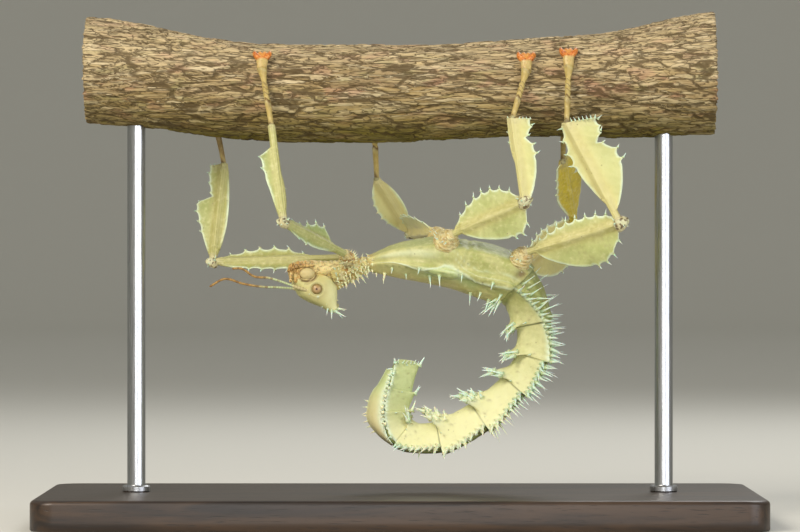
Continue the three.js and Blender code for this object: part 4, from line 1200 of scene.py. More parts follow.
# lobes as (width, start, peak, end) along the limb, and how angular, if not round: toward
# the leg's inner bend, then away; then how many teeth, where each edge has them, their size
NONE = (2, 2)
MIDDLE_FEMUR = [(4.2, 0.04, 0.58, 1.0)], [(4.7, 0.1, 0.78, 0.99)]
HIND_FEMUR = [(2.7, 0.04, 0.6, 1.1)], [(5.7, 0.08, 0.66, 0.98)]
LOBES = {
    "fore_right_femur": ([(2.8, 0.2, 0.37, 0.74), (1.3, 0.4, 0.75, 1.0)], [(2.0, 0.1, 0.66, 0.98)],
                         8, (0.28, 0.9), (0.62, 0.75), 0.7),
    "fore_left_femur": ([(2.2, 0.2, 0.55, 1.02)], [(2.3, 0.2, 0.5, 1.0)],
                        9, (0.3, 0.95), (0.35, 0.72), 0.8),
    "fore_right_tibia": ([(0.95, 0.0, 0.3, 0.62)], [(2.7, -0.12, 0.68, 0.8, 0.8)],
                         8, (0.1, 0.5), (0.5, 0.72), 0.5),
    "fore_left_tibia": ([(1.75, 0.0, 0.45, 1.12)], [(3.9, -0.02, 0.57, 0.7, 0.6), (2.3, 0.5, 0.93, 1.6)],
                        9, NONE, (0.3, 0.95), 0.5),
    "mid_right_femur": (*MIDDLE_FEMUR, 9, (0.12, 0.95), (0.66, 1.0), 0.9),
    "mid_right_tibia": ([(1.15, 0.35, 0.75, 1.4)], [(3.1, -0.1, 0.58, 0.84), (3.0, 0.66, 0.92, 1.5)],
                        8, (0.72, 0.9), (0.52, 1.0), 0.8),
    "mid_left_femur": (*MIDDLE_FEMUR, 9, (0.12, 0.95), (0.6, 1.0), 0.5),
    "mid_left_tibia": ([(1.8, 0.0, 0.5, 1.03)], [(2.8, 0.02, 0.58, 1.03)],
                       8, NONE, (0.3, 0.8), 0.35),
    "hind_right_femur": (*HIND_FEMUR, 10, (0.15, 1.0), (0.6, 1.0), 1.0),
    "hind_right_tibia": ([(2.4, 0.15, 0.68, 1.06)], [(5.0, 0.1, 0.57, 0.8), (4.6, 0.6, 0.9, 1.4)],
                         9, (0.62, 1.0), (0.5, 1.0), 1.05),
    "hind_left_femur": (*HIND_FEMUR, 10, (0.15, 1.0), (0.6, 1.0), 0.6),
    "hind_left_tibia": ([(2.7, 0.12, 0.62, 1.3)], [(4.4, 0.05, 0.55, 0.74), (3.7, 0.55, 0.85, 1.3)],
                        9, (0.6, 0.9), (0.6, 0.9), 0.4),
}
# shins that end in combs: the spines' length, and how slanted that end is
BLUNT = {"hind_right_tibia": 0.8, "mid_right_tibia": 0.45, "fore_left_tibia": 0.4}
SKEW = {"hind_right_tibia": 0.32, "mid_right_tibia": 0.14, "fore_left_tibia": 0.16}
LIMB = {"core": 0.62, "edge": 0.1, "tooth": 0.55, "scallop": 0.2}
# how the legs' colours differ: warm and green tones, then bright for painted light and shade for painted shade, by how
# each leg lies in the light
TONES_AND_PAINTED_LIGHT = {
    "fore_right": (0.0, 0.6, 0.0, 0.2), "fore_left": (0.1, 0.2, 0.0, 0.4), "mid_right": (0.1, 0.2, 0.1, 0.0),
    "mid_left": (0.2, 0.0, 0.8, 0.0), "hind_right": (0.15, 0.2, 0.1, 0.0), "hind_left": (0.5, 0.0, 0.65, 0.0),
}
KNEE_SIZE = {"hind_right": 1.3, "mid_right": 1.2}  # the joint's ball on the stoutest legs
# painted light on each shin, most on the far middle one, which lies in shade
TIBIA_PAINTED_LIGHT = {"mid_right": 0.85, "hind_right": 0.85, "fore_right": 0.1, "fore_left": 0.0, "mid_left": 1.0}


# %% The outline of a lobed limb
def lobe_reach(lobes, t):
    """How far lobes reach from the limb's middle line."""
    reach = np.full_like(t, LIMB["core"])
    for width, start, peak, end, *angular in lobes:
        part = np.clip(np.where(t < peak, (t - start) / (peak - start), (end - t) / (end - peak)), 0, 1)
        rise = np.sin(math.pi / 2 * part) ** 0.75
        reach = np.maximum(reach, width * (rise + (part - rise) * (angular[0] if angular else 0)))
    return reach


def scalloped(lobes, teeth, t, turn, toothed, size):
    """The lobes' reach with teeth, which point away from the body."""
    plain = lobe_reach(lobes, t)
    low, high = toothed
    broad = ease(LIMB["core"] + 0.1, LIMB["core"] + 1.2, plain)
    broad = broad * ease(low - 0.06, low, t) * ease(high + 0.06, high, t)
    phase = t * teeth + turn
    part = phase - np.floor(phase)
    point = np.where(part > 0.5, ((part - 0.5) * 2) ** 2.6, ((0.5 - part) * 2) ** 3.4)
    uneven = 0.75 + 0.5 * np.sin(np.floor(phase + 0.5) * 12.9) ** 2
    return plain + broad * size * (LIMB["tooth"] * point * uneven - LIMB["scallop"])


def limb_frame(start, end, inward, twist):
    along = unit(end - start)
    inner = unit(inward - along * (inward @ along))
    turn = math.radians(twist)
    inner = inner * math.cos(turn) + np.cross(along, inner) * math.sin(turn)
    return along, inner, np.cross(along, inner)


# %% A lobed limb as a closed skin, and the roots of its spines
leg_thorns = []


def blade(start, end, inward, twist, kind, seed, tint, knee_ends):
    """A rod with flat lobes from start to end."""
    along, inner, side = limb_frame(start, end, inward, twist)
    lobes_in, lobes_out, teeth, toothed_in, toothed_out, size = LOBES[kind]
    # painted glow: the far hind shin is painted amber, for light shining through it in shade
    amber = 0.9 if tint[0] > 0.65 else 0.0
    length = np.linalg.norm(end - start)
    t = np.linspace(0, 1, 150)
    into = scalloped(lobes_in, teeth, t, 0.3, toothed_in, size)
    out = scalloped(lobes_out, teeth + 1, t, 0.0, toothed_out, size)
    half = np.array([0, 0.07, 0.14, 0.22, 0.31, 0.41, 0.52, 0.63, 0.73, 0.82, 0.89, 0.94, 0.975, 1.0])
    share = np.concatenate([-half[::-1], half[1:]])
    place = np.where(share > 0, share * into[:, None], share * out[:, None])
    reach = np.where(share > 0, into[:, None], out[:, None])
    lobed = ease(0.9, 1.8, reach)
    rounding = np.sqrt(np.clip(1 - np.abs(share) ** 10, 0, 1))
    core = LIMB["core"] * np.exp(-((place / 0.58) ** 2)) + 0.1 * bump(np.abs(place), 0.62, 0.1) * lobed
    thick = (core + LIMB["edge"] + 0.05 * ease(0.5, 0.1, reach * (1 - np.abs(share)))) * rounding
    round_bar = LIMB["core"] * np.sqrt(np.clip(1 - share**2, 0, 1))
    thick = np.where(lobed > 0.02, thick, round_bar * (1 - lobed) + thick * lobed)
    middle = start + along * (t * length)[:, None]
    flat = middle[:, None] + inner * place[..., None]
    flat = flat + along * (SKEW.get(kind, 0.0) * place * ease(0.7, 1.0, t)[:, None])[..., None]
    wave = 0.5 * noise(flat, 4.0, seed) * ease(0.6, 3.0, np.abs(place)) + 0.12 * noise(flat, 1.4, seed + 1) * lobed
    curl = -0.035 * place**2 * lobed
    vein_wave = np.sin((t[:, None] * length + 0.75 * np.abs(place)) * 4.2 + noise(flat, 2.0, seed + 3))
    wave = wave + curl + 0.015 * vein_wave * lobed
    front = flat + side * (wave + thick)[..., None]
    rear = flat + side * (wave - thick)[..., None]
    rings = np.concatenate([front, rear[:, -2:0:-1]], 1)

    def both(values):
        values = np.broadcast_to(values, place.shape)
        return np.concatenate([values, values[:, -2:0:-1]], 1)

    from_edge = reach * (1 - np.abs(share))
    rim = (1 - ease(0.05, 0.55, from_edge)) * lobed
    lines = 0.5 + 0.5 * np.cos(place * 17 + 0.4 * noise(flat, 3.0, seed + 4))
    rib = (1 - ease(0.55, 0.95, np.abs(place))) * lines
    fan = ease(0.3, 0.95, vein_wave) * 0.3 * ease(0.8, 1.4, np.abs(place)) * ease(-0.3, 0.6, noise(flat, 2.4, seed + 6))
    warm, green, bright, shade = tint
    ends = knee_ends[0] * ease(0.1, 0.02, t) + knee_ends[1] * ease(0.9, 0.98, t)
    masks = {
        "rim": both(np.clip(rim * (0.8 + 0.2 * noise(flat, 1.0, seed + 5)), 0, 1)),
        "vein": both(np.clip(0.75 * rib + fan, 0, 1)),
        "warm": both(warm + 0.3 * (1 - ease(0.7, 1.6, np.abs(place)))), "bright": both(bright),
        "green": both(green + 0.3 * ease(1.0, 3.0, np.abs(place))), "shade": both(shade),
        "amber": both(amber * (1 - rim)), "knee": both(ends[:, None]),
    }
    edges = ((lobes_in, teeth, 0.3, toothed_in, 1), (lobes_out, teeth + 1, 0.0, toothed_out, -1))
    for lobes, count, turn, toothed, sign in edges:
        for number in range(count + 2):
            station = (number - turn) / count
            if not max(0.02, toothed[0] - 0.04) < station < min(0.995, toothed[1] + 0.04):
                continue
            t_here = np.array([station])
            tip = scalloped(lobes, count, t_here, turn, toothed, size)[0]
            if lobe_reach(lobes, t_here)[0] < LIMB["core"] + 0.3:
                continue
            index = int(station * 149)
            here = start + along * station * length + inner * sign * (tip - 0.15)
            here = here + side * wave[index, -1 if sign > 0 else 0]
            lean = 0.35 if number % 2 else 0.6
            long = size * (0.8 + 0.25 * math.sin(number * 5.1))
            leg_thorns.append((here, inner * sign + along * lean, long, 0.1 + 0.07 * size))
    if kind in BLUNT:
        for place_here in np.arange(-out[-1] + 0.15, into[-1], 0.62):
            if abs(place_here) > 0.6:
                root = end + inner * place_here + along * (SKEW[kind] * place_here - 0.12)
                leg_thorns.append((root, along + inner * 0.12 * place_here, BLUNT[kind], 0.16))
    return shell(rings, **masks)


# %% Knees and shins
def leg_points(leg):
    side = side_of(leg)
    knee, ankle, grip, twist = LEGS[leg]
    return to_side(HIPS[leg][1], side), to_side(knee, side), to_side(ankle, side), grip, twist


def knee_skins(leg, hip, knee, ankle):
    """The joint's ball, with two small ears beside it."""
    thigh, shin = unit(knee - hip), unit(ankle - knee)
    across = unit(np.cross(thigh, shin))
    bend, size = unit(thigh - shin), KNEE_SIZE.get(leg, 1.0)
    skins = [ball(knee + bend * 0.1, bend, across, np.array([0.9, 0.85, 1.05]) * size, 28, 32, knee=1.0, blush=0.4)]
    for sign in (-1, 1):
        ear = knee + across * sign * 0.55 * size + thigh * 0.25
        skins.append(ball(ear, thigh, across, np.array([0.95, 0.34, 0.6]) * size, 16, 20, knee=1.0, rim=0.25))
    for number in range(7):
        turn = number * 0.9 + len(leg)
        aim = bend * math.cos(turn) + across * math.sin(turn) * 0.9 + thigh * 0.3 * math.sin(number * 2.2)
        leg_thorns.append((knee + unit(aim) * 0.85 * size, unit(aim), 0.55, 0.14))
    return [roughened(skin, 0.1, 0.55, 30 + number) for number, skin in enumerate(skins)]


# %% The foot's five joints
TARSUS = {"start": 0.47, "clear": 0.95, "arch": 0.6, "low": -45, "ends": [0, 0.44, 0.54, 0.63, 0.72, 1.0]}
FOOT = {"clear": 0.6, "heel": 12}


def foot_places(leg, ankle, grip):
    """The heel and the foot's middle on the bark, and the bow of the joints between."""
    side = side_of(leg)
    x, angle = grip
    lift = TARSUS["clear"] + TARSUS["arch"]
    arch = perch_point((ankle[0] + x) / 2, side, (angle + TARSUS["low"]) / 2, lift)
    return arch, perch_point(x, side, angle - FOOT["heel"], FOOT["clear"]), perch_point(x, side, angle, FOOT["clear"])


def tarsus_skin(leg, ankle, grip):
    arch, heel, _ = foot_places(leg, ankle, grip)
    start = ankle + unit(arch - ankle) * 0.1

    def path(t):
        t = np.asarray(t, float)[..., None]
        return start * (1 - t) ** 2 + arch * 2 * t * (1 - t) + heel * t * t

    ends = np.array(TARSUS["ends"])

    def joint(t, shift=0.0):
        place = np.clip(t + shift, 0, 0.9999)
        number = np.clip(np.searchsorted(ends, place, side="right") - 1, 0, 4)
        return number, (place - ends[number]) / (ends[number + 1] - ends[number])

    count, around = 150, 24
    t = np.linspace(0, 1, count)[:, None]
    angle = np.arange(around) / around * 2 * math.pi
    shift = 0.028 * np.cos(2 * angle + 0.6)[None, :]
    number, part = joint(np.broadcast_to(t, (count, around)), shift)
    radius = TARSUS["start"] * (0.88 + 0.3 * part**2)
    radius = radius * (1 - 0.35 * ease(0.93, 1.0, part) - 0.2 * (1 - ease(0.0, 0.08, part)))
    last = number == 4
    radius = np.where(last, 0.34 + 0.5 * part**1.3, radius)
    ahead = headings(path, t[:, 0])
    wide = unit(np.cross(ahead, np.array([0.3, 1.0, 0.2])))
    deep = np.cross(ahead, wide)
    ring = wide[:, None] * np.cos(angle)[:, None] + deep[:, None] * np.sin(angle)[:, None]
    rings = path(t[:, 0])[:, None] + ring * radius[..., None]
    streak = ease(0.1, 0.5, noise(rings * [1, 1, 0.35], 0.35, 41)) * 0.5
    gap = np.where(last, 0.03, 0.1)
    fold = np.clip(bump(part, 0.0, gap) + bump(part, 1.0, gap) * ~last + streak * ease(0.3, 0.9, part), 0, 1)
    # painted shade: the far fore foot, on the far side of the branch, is darkened
    dark = 0.75 if leg == "fore_left" else 0.0
    return shell(rings, fold=np.clip(fold + dark * ease(0.05, 0.3, part), 0, 1), warm=0.8 - 0.1 * part,
                 rust=0.3 + 0.3 * part, bright=0.2 * (1 - part), knee=0.5 * bump(t, 0.0, 0.05) + 0 * part,
                 shade=0.35 * part, rim=0.12 * bump(part, 0.85, 0.08))


# %% Six legs
def leg_skins(leg):
    hip, knee, ankle, grip, twist = leg_points(leg)
    tint, seed = TONES_AND_PAINTED_LIGHT[leg], 50 + 7 * len(leg) + ord(leg[0])
    past = knee + unit(knee - hip) * 0.3
    femur = blade(hip, past, ankle - knee, twist[0], f"{leg}_femur", seed, tint, (0.15, 0.9))
    # the far hind shin is warmed enough to take the painted glow
    warm = 0.8 if leg == "hind_left" else tint[0]
    tibia_tint = (warm, tint[1] * 0.4, TIBIA_PAINTED_LIGHT.get(leg, 0.0), tint[3])
    tibia = blade(knee, ankle, hip - knee, twist[1], f"{leg}_tibia", seed + 20, tibia_tint, (1.0, 0.4))
    # painted shade darkens each ankle
    ankle_ball = ball(ankle, ankle - knee, (0, 1, 0), (0.5, 0.55, 0.5), 16, 20, knee=0.7, fold=0.4)
    hip_ball = ball(hip, knee - hip, (0, 0, 1), (0.75, 0.85, 0.8), 20, 24, knee=0.45, blush=0.8, warm=0.4)
    return [femur, tibia, *knee_skins(leg, hip, knee, ankle), ankle_ball, roughened(hip_ball, 0.08, 0.6, 9),
            tarsus_skin(leg, ankle, grip)]


for leg in LEGS:
    mesh = mesh_of(f"leg_{leg}", leg_skins(leg))
    piece(f"leg_{leg}", mesh, leg_cuticle, "leg_cuticle", f"femur_{leg}", f"tibia_{leg}", f"tarsus_{leg}")

# %% [markdown]
# ## The feet
#
# Each foot is an orange pad that grips between two curved claws with dark tips. It
# could be sculpted once and copied, but each foot meets the bark at its own angle, so
# a ball and tapered tubes are placed along that grip's own directions.


# %% Feet
def foot_skins(leg):
    _, _, ankle, grip, _ = leg_points(leg)
    side = side_of(leg)
    _, heel, centre = foot_places(leg, ankle, grip)
    x, angle = grip
    away = unit(perch_point(x, side, angle, 1.0) - perch_point(x, side, angle, 0.0))
    ahead = centre - heel
    ahead = unit(ahead - away * (ahead @ away))
    across = np.cross(ahead, away)
    pad = ball(centre + ahead * 0.45 - away * 0.1, ahead, across, (1.15, 1.05, 0.5), 24, 28, pad=1.0)
    notch = bump((pad["verts"] - centre) @ across, 0, 0.2) * ease(0.3, 0.95, (pad["verts"] - centre) @ ahead)
    pad["verts"] = pad["verts"] - ahead * (0.3 * notch)[:, None]
    sleeve = smooth([heel, (heel + centre) / 2, centre - ahead * 0.1])
    cuff = tube(sleeve, smooth([0.82, 0.9, 0.98]), 24, 28, across, 0.75, cuff=lambda t: ease(1.0, 0.7, t))
    skins = [pad, cuff]
    for sign in (-1, 1):
        bend = smooth([
            centre + across * sign * 0.3 - ahead * 0.15, centre + across * sign * 0.85 + ahead * 0.4 + away * 0.1,
            centre + across * sign * 1.2 + ahead * 1.0, centre + across * sign * 1.2 + ahead * 1.85 - away * 0.3,
        ])
        skins.append(tube(bend, smooth([0.56, 0.6, 0.46, 0.08]), 40, 20, away, 0.8, tip=lambda t: ease(0.7, 0.95, t)))
    return [roughened(skin, 0.06, 0.4, 60) for skin in skins]


def paint_foot(tree):
    mottle = grain(tree, 0.35, 3.0)
    pad, cuff, tip = masks_of(tree, "pad", "cuff", "tip")
    colour = coated(
        tree, "b8601f",
        ("d98a3a", (mottle, 0.35, 0.65)),
        ("d99a4c", pad, 0.7),
        ("efc08a", (mottle, 0.62, 0.72), 0.6),
        ("c2aa6c", cuff),
        ("7c4a22", (mottle, 0.42, 0.3), 0.5),
        ("6a2f14", tip),
    )
    return colour, (mottle, 0.05)


# thin horn over soft tissue: smooth, with a small highlight on every claw
foot_surface = {"Roughness": 0.38, "Subsurface_Weight": 0.1, "Subsurface_Scale": 0.4 * MM}
foot_cuticle = finish("orange foot cuticle", paint_foot, **foot_surface)
for leg in LEGS:
    piece(f"claws_{leg}", mesh_of("foot", foot_skins(leg)), foot_cuticle, "foot", f"foot_{leg}")
# %% [markdown]
# ## The eyes
#
# An insect's eye is a hard clear dome of fine facets. Modelled facets would be far
# too many and too fine, so a smooth ball is set in its socket, its rings of colour
# follow a mask from its middle outward, and the facets are a shallow relief.

# %% Eyes
def eye_skin(side):
    centre = to_side((EYE["x"], EYE["out"] - 0.12, EYE["z"]), side)
    skin = ball(centre, (0, side, 0), (1, 0, 0), (EYE["radius"] * 0.78, EYE["radius"], EYE["radius"] * 0.97), 60, 72)
    out = (skin["verts"] - centre) @ np.array([0, side, 0])
    flat = np.hypot(skin["verts"][:, 0] - centre[0], skin["verts"][:, 2] - centre[2]) / EYE["radius"]
    skin["masks"] = {"ring": np.where(out > 0, flat, 1.0)}
    return skin


def paint_eye(tree):
    [ring] = masks_of(tree, "ring")
    wide = weighted(tree, -0.08, (ring, 1.0), (grain(tree, 0.45, 3.0), 0.16))
    colour = coated(tree, "ad8c5c", ("8f7a4a", (wide, 0.56, 0.66)), ("77683c", (wide, 0.86, 0.98)),
                    ("451f06", (wide, 0.23, 0.14)))
    # facets are 0.03 mm across on the real eye and are drawn three times coarser to show
    facets = add(tree, "ShaderNodeTexVoronoi", place_of(tree), 1 / 0.09, feature="F1")
    return colour, (weighted(tree, 1.0, (facets, -1.0)), 0.02)


# clear horn: the glossiest surface of the insect, with one sharp spark of light
eye_gloss = finish("glossy faceted eye", paint_eye, Roughness=0.22, Coat_Weight=0.3, Coat_Roughness=0.12)
for name, side in (("right", RIGHT), ("left", LEFT)):
    piece(f"eye_dome_{name}", mesh_of("eye", [eye_skin(side)]), eye_gloss, "eye", f"eye_{name}")

# %% [markdown]
# ## The antennae
#
# A feeler is a string of about thirty short segments from a thick first one. One
# tube along a curve does it: its radius swells once a segment, so it stays closed
# and slim, where separate beads would show gaps at each bend.

# %% Antennae
# x, out from the middle plane, z, from root to tip
ANTENNAE = {
    "right": [(-15.0, 1.7, 38.15), (-17.7, 2.0, 39.0), (-19.6, 2.1, 39.7), (-21.7, 2.3, 40.3), (-23.9, 2.6, 40.5),
              (-26.0, 3.0, 41.8), (-27.6, 3.1, 41.8)],
    "left": [(-15.0, 1.5, 38.1), (-17.7, 1.8, 38.5), (-20.2, 2.0, 38.7), (-22.8, 2.3, 38.8), (-26.0, 3.0, 39.3),
             (-29.0, 3.2, 40.1), (-31.6, 3.4, 38.8)],
}
ANTENNA = {"segments": 34, "root": 0.2, "tip": 0.19, "scape": 0.34}


def antenna_skin(name, side):
    path = path_through([to_side(place, side) for place in ANTENNAE[name]])
    count = ANTENNA["segments"]

    def radius(t):
        part = t * count - np.floor(t * count)
        beads = 1 + (0.04 + 0.1 * ease(0.14, 0.2, t)) * np.sin(math.pi * part) ** 2 - 0.1
        thin = ANTENNA["root"] + (ANTENNA["tip"] - ANTENNA["root"]) * t
        first = (ANTENNA["scape"] - thin) * ease(0.17, 0.14, t) * (0.75 + 0.25 * ease(0.0, 0.06, t))
        return (thin * beads + first) * (1 - 0.7 * ease(0.985, 1.0, t))

    def banded(t):
        return (np.floor(t * count) % 3 == 0) * ease(0.3, 0.42, t)

    return tube(path, radius, 240, 14, (0, 0, 1), band=banded, far=lambda t: t,
                joint=lambda t: bump(t * count - np.round(t * count), 0, 0.12))


def paint_antenna(tree):
    far, banded, joint = masks_of(tree, "far", "band", "joint")
    colour = coated(tree, "bdb27e", ("b9c795", (far, 0.15, 0.18)), ("ab8544", (far, 0.4, 0.62)),
                    ("75522a", banded, 0.7), ("7a5e34", joint, 0.5))
    return colour, (grain(tree, 0.12, 2.0), 0.03)


# hard, dry cuticle in bands of straw and brown: nearly matt, with no light through it
antenna_cuticle = finish("banded antenna cuticle", paint_antenna, Roughness=0.5)
for name, side in (("right", RIGHT), ("left", LEFT)):
    piece(f"feeler_{name}", mesh_of("feeler", [antenna_skin(name, side)]), antenna_cuticle, "ochre_cuticle",
          f"antenna_{name}")

# %% [markdown]
# ## The mouth and throat
#
# The mouth is soft: folds of the throat, the lip's two lobes and the jointed palps
# that feel the food. Closed balls and tubes overlap in one mesh, creased by waves
# that noise bends, because the folds run on from one part to the next.

# %% Mouth and throat
THROAT = {"path": [(-17.2, 0, 40.0), (-17.2, 0, 41.4), (-15.0, 0, 41.8), (-10.6, 0, 41.9), (-8.0, 0, 42.1)],
          "girth": [0.8, 1.25, 1.35, 1.3, 1.25, 1.05]}
# soft lobes of the lips and jaws: x, out, z, lean of the lobe forward, sizes (along, out, across)
MOUTH_LOBES = [
    (-17.75, 0.45, 40.9, -0.25, (1.35, 0.5, 0.42)), (-17.25, 0.95, 41.35, -0.1, (1.3, 0.45, 0.36)),
    (-18.05, 0.75, 41.95, 0.5, (0.85, 0.5, 0.42)), (-17.1, 1.15, 40.2, 0.15, (0.8, 0.4, 0.4)),
    (-16.6, 1.2, 42.25, 1.3, (1.0, 0.45, 0.34)), (-15.0, 1.15, 42.3, 1.5, (1.2, 0.4, 0.32)),
    (-16.75, 1.3, 40.9, -0.15, (0.95, 0.34, 0.3)),
]
# palps: root, aim (x, out, z), length
PALPS = [((-17.6, 1.1, 42.0), (-0.15, 0.3, -1.0), 2.6), ((-16.4, 1.35, 42.4), (-1.0, 0.35, -0.5), 1.9)]


def creased(skin, centre, pitch, seed):
    """Lengthwise wrinkles on a soft lobe."""
    verts = skin["verts"]
    wave = np.sin(verts[:, 0] * pitch + 3.2 * noise(verts, 0.7, seed)) + 0.5 * noise(verts, 0.25, seed + 1)
    skin["verts"] = verts + unit(verts - centre) * (0.045 * wave)[:, None]
    # painted shade in the wrinkles' troughs
    skin["masks"]["fold"] = np.clip(-0.6 * wave - 0.1, 0, 1)
    return skin


def mouth_skins():
    throat = tube(path_through(THROAT["path"]), smooth(THROAT["girth"]), 130, 80,
                  pale=lambda t: ease(0.35, 0.75, t))
    verts = throat["verts"]
    wave = np.sin(verts[:, 0] * 7 + verts[:, 2] * 5 + 3.5 * noise(verts, 1.1, 71)) + 0.8 * noise(verts, 0.4, 72)
    middle = np.column_stack([verts[:, 0], 0 * verts[:, 0], np.clip(verts[:, 2], 40.2, 41.9)])
    throat["verts"] = verts + unit(verts - middle) * (0.05 * wave + 0.1 * noise(verts, 0.9, 73))[:, None]
    # painted shade in the throat's fold troughs
    throat["masks"]["fold"] = np.clip(-0.5 * wave - 0.35, 0, 1)
    skins = [throat]
    for side in (RIGHT, LEFT):
        for number, (x, out, z, lean, sizes) in enumerate(MOUTH_LOBES):
            centre = to_side((x, out, z), side)
            lobe = ball(centre, (math.sin(lean), 0, math.cos(lean)), (0, 1, 0), sizes, 30, 32)
            skins.append(creased(lobe, centre, 14, 80 + number))
        for root, aim, length in PALPS:
            root, aim = to_side(root, side), unit(to_side(aim, side))
            bend = smooth([root, root + aim * length * 0.5 + np.array([-0.15, 0, 0]), root + aim * length])

            def girth(t):
                part = t * 4 - np.floor(np.minimum(t * 4, 3.999))
                return 0.27 * (0.95 + 0.1 * np.sin(math.pi * part)) * (1 - 0.6 * ease(0.93, 1.0, t))

            skins.append(tube(bend, girth, 60, 16, (0, 1, 0),
                              fold=lambda t: 0.8 * bump(t * 4 - np.round(t * 4), 0, 0.12)))
    return skins


mouth_mesh = mesh_of("mouth", mouth_skins())


def paint_mouth(tree):
    cloud, fine = grain(tree, 0.8, 3.0), grain(tree, 0.3, 3.0)
    pale, fold = masks_of(tree, "pale", "fold")
    edge, own = cells(tree, 1.5, (1.4, 1.0, 0.8), 1.1)
    crease = product(tree, (edge, 0.1, 0.01), (cloud, 0.35, 0.5))
    # painted shade in the folds and in the creases between the cells; the palps' joint rings are their own dark
    dark = weighted(tree, 0.0, (fold, 0.65), (crease, 0.6), use_clamp=True)
    colour = coated(
        tree, "c8a560",
        ("d8ba74", (cloud, 0.35, 0.65)),
        ("dcc280", (own, 0.5, 0.75)),
        ("b5873f", (own, 0.3, 0.12), 0.5),
        ("e6d898", pale, 0.85),
        ("a67c42", (fine, 0.55, 0.75), 0.3),
        ("664420", dark, weighted(tree, 1.0, (pale, -0.5))),
    )
    return colour, (weighted(tree, 0.0, (fine, 1.0), (crease, -1.0)), 0.1)


# thin damp skin: a little light passes through its ridges, and the creases are dark with painted shade
mouth_surface = {"Roughness": 0.5, "Subsurface_Weight": 0.15, "Subsurface_Scale": 0.4 * MM}
mouth_cuticle = finish("soft mouth skin", paint_mouth, **mouth_surface)
piece("mouth_skin", mouth_mesh, mouth_cuticle, "ochre_cuticle", "mouthparts")
# %% [markdown]
# ## Thorns
#
# Hundreds of thorns of one form grow on the insect, from half a millimetre to three
# millimetres long. Geometry Nodes make them: a point for each root holds its aim,
# length and girth, and a bent cone of a few dozen faces is put on each point. The
# roots come from the skins' own surface functions, so every thorn is rooted.

# %% Where the body's thorns grow
THORN_COUNTS = {"neck": 66, "segment": 7, "plate edge": 13, "plate keel": 7, "fore hip": 20, "hip": 12}
body_thorns = []


def thorn_on_trunk(row, place, aim, length, girth=0.2, sink=0.12):
    """A thorn rooted on the trunk, aimed as (outward, toward the back, ahead)."""
    points, normals, _ = trunk_surface(row, place)
    _, right, back, ahead = trunk_frame(np.array([float(row)]))
    out = right[0] * (1 if place < BELLY else -1)
    heading = unit(normals[0] * 0.4 + out * aim[0] + back[0] * aim[1] + ahead[0] * aim[2])
    body_thorns.append((points[0] - heading * sink, heading, length, girth))


def both_sides(row, place, aim, length, girth=0.2, sink=0.12):
    thorn_on_trunk(row, place, aim, length, girth, sink)
    thorn_on_trunk(row, ROUND - place, aim, length * 0.95, girth, sink)


def sway(number):
    """A repeatable uneven number from -1 to 1."""
    return math.sin(number * 12.9898) * math.cos(number * 4.13)


# thorax: row, place, aim, length
THORAX_THORNS = [
    (0.45, 1.4, (0.4, 1, 0.3), 1.1), (0.8, 1.0, (0.3, 1, 0.3), 1.6), (1.1, 1.6, (0.5, 1, 0.2), 1.2),
    (1.3, 0.9, (0.3, 1, 0.3), 1.7), (1.75, 1.2, (0.4, 1, 0.2), 1.5), (1.5, 2.6, (1, 0.5, 0), 1.0),
    (0.95, 2.7, (1, 0.5, 0.2), 0.9), (1.95, 2.2, (0.8, 0.8, 0.2), 1.1), (0.6, 2.4, (1, 0.6, -0.2), 0.9),
    (1.2, 3.6, (1, -0.2, 0), 0.7), (1.7, 3.9, (1, -0.5, 0.1), 0.7), (2.5, 1.0, (0.1, 1, -0.3), 2.0),
    (2.75, 2.2, (0.4, 0.9, 0), 1.1), (3.2, 1.6, (0.3, 1, 0.2), 0.9), (3.55, 2.9, (0.4, 0.9, 0.1), 1.3),
    (3.85, 2.0, (0.3, 1, 0.5), 2.3), (4.15, 2.5, (0.4, 0.9, 0.1), 2.3), (5.05, 2.9, (0.3, 0.9, 0.2), 1.4),
    (5.6, 1.0, (0.2, 1, 0.2), 2.2), (6.4, 1.0, (0.4, 1, 0), 2.8), (6.6, 0.9, (0.2, 1, -0.4), 2.8),
    (6.3, 2.9, (0.6, 0.9, 0), 1.6), (6.05, 1.5, (0.5, 0.9, 0.1), 1.7), (6.75, 1.9, (0.7, 0.9, 0.1), 2.0),
    (6.75, 0.6, (0.1, 1, -0.8), 3.4), (6.85, 1.1, (0.3, 1, -0.5), 3.4), (6.9, 0.7, (0.2, 1, -0.1), 3.0),
    (6.7, 1.4, (0.3, 1, -0.9), 2.6), (6.95, 1.3, (0.3, 1, 0.2), 2.6),
]
for number, (row, place, aim, length) in enumerate(THORAX_THORNS):
    both_sides(row, place, aim, length * (1 + 0.08 * sway(number)), 0.15 + 0.035 * length)

for number in range(THORN_COUNTS["neck"]):
    row, place = 0.15 + 2.1 * ((number * 0.7549) % 1), 0.4 + 5.6 * ((number * 0.5698 + 0.1) % 1)
    length = 0.7 + 0.4 * sway(number)
    both_sides(row, place, (0.5, 0.5 if place < 3 else -0.2, 0.5 * sway(number * 3)), 1.15 * length, 0.17)

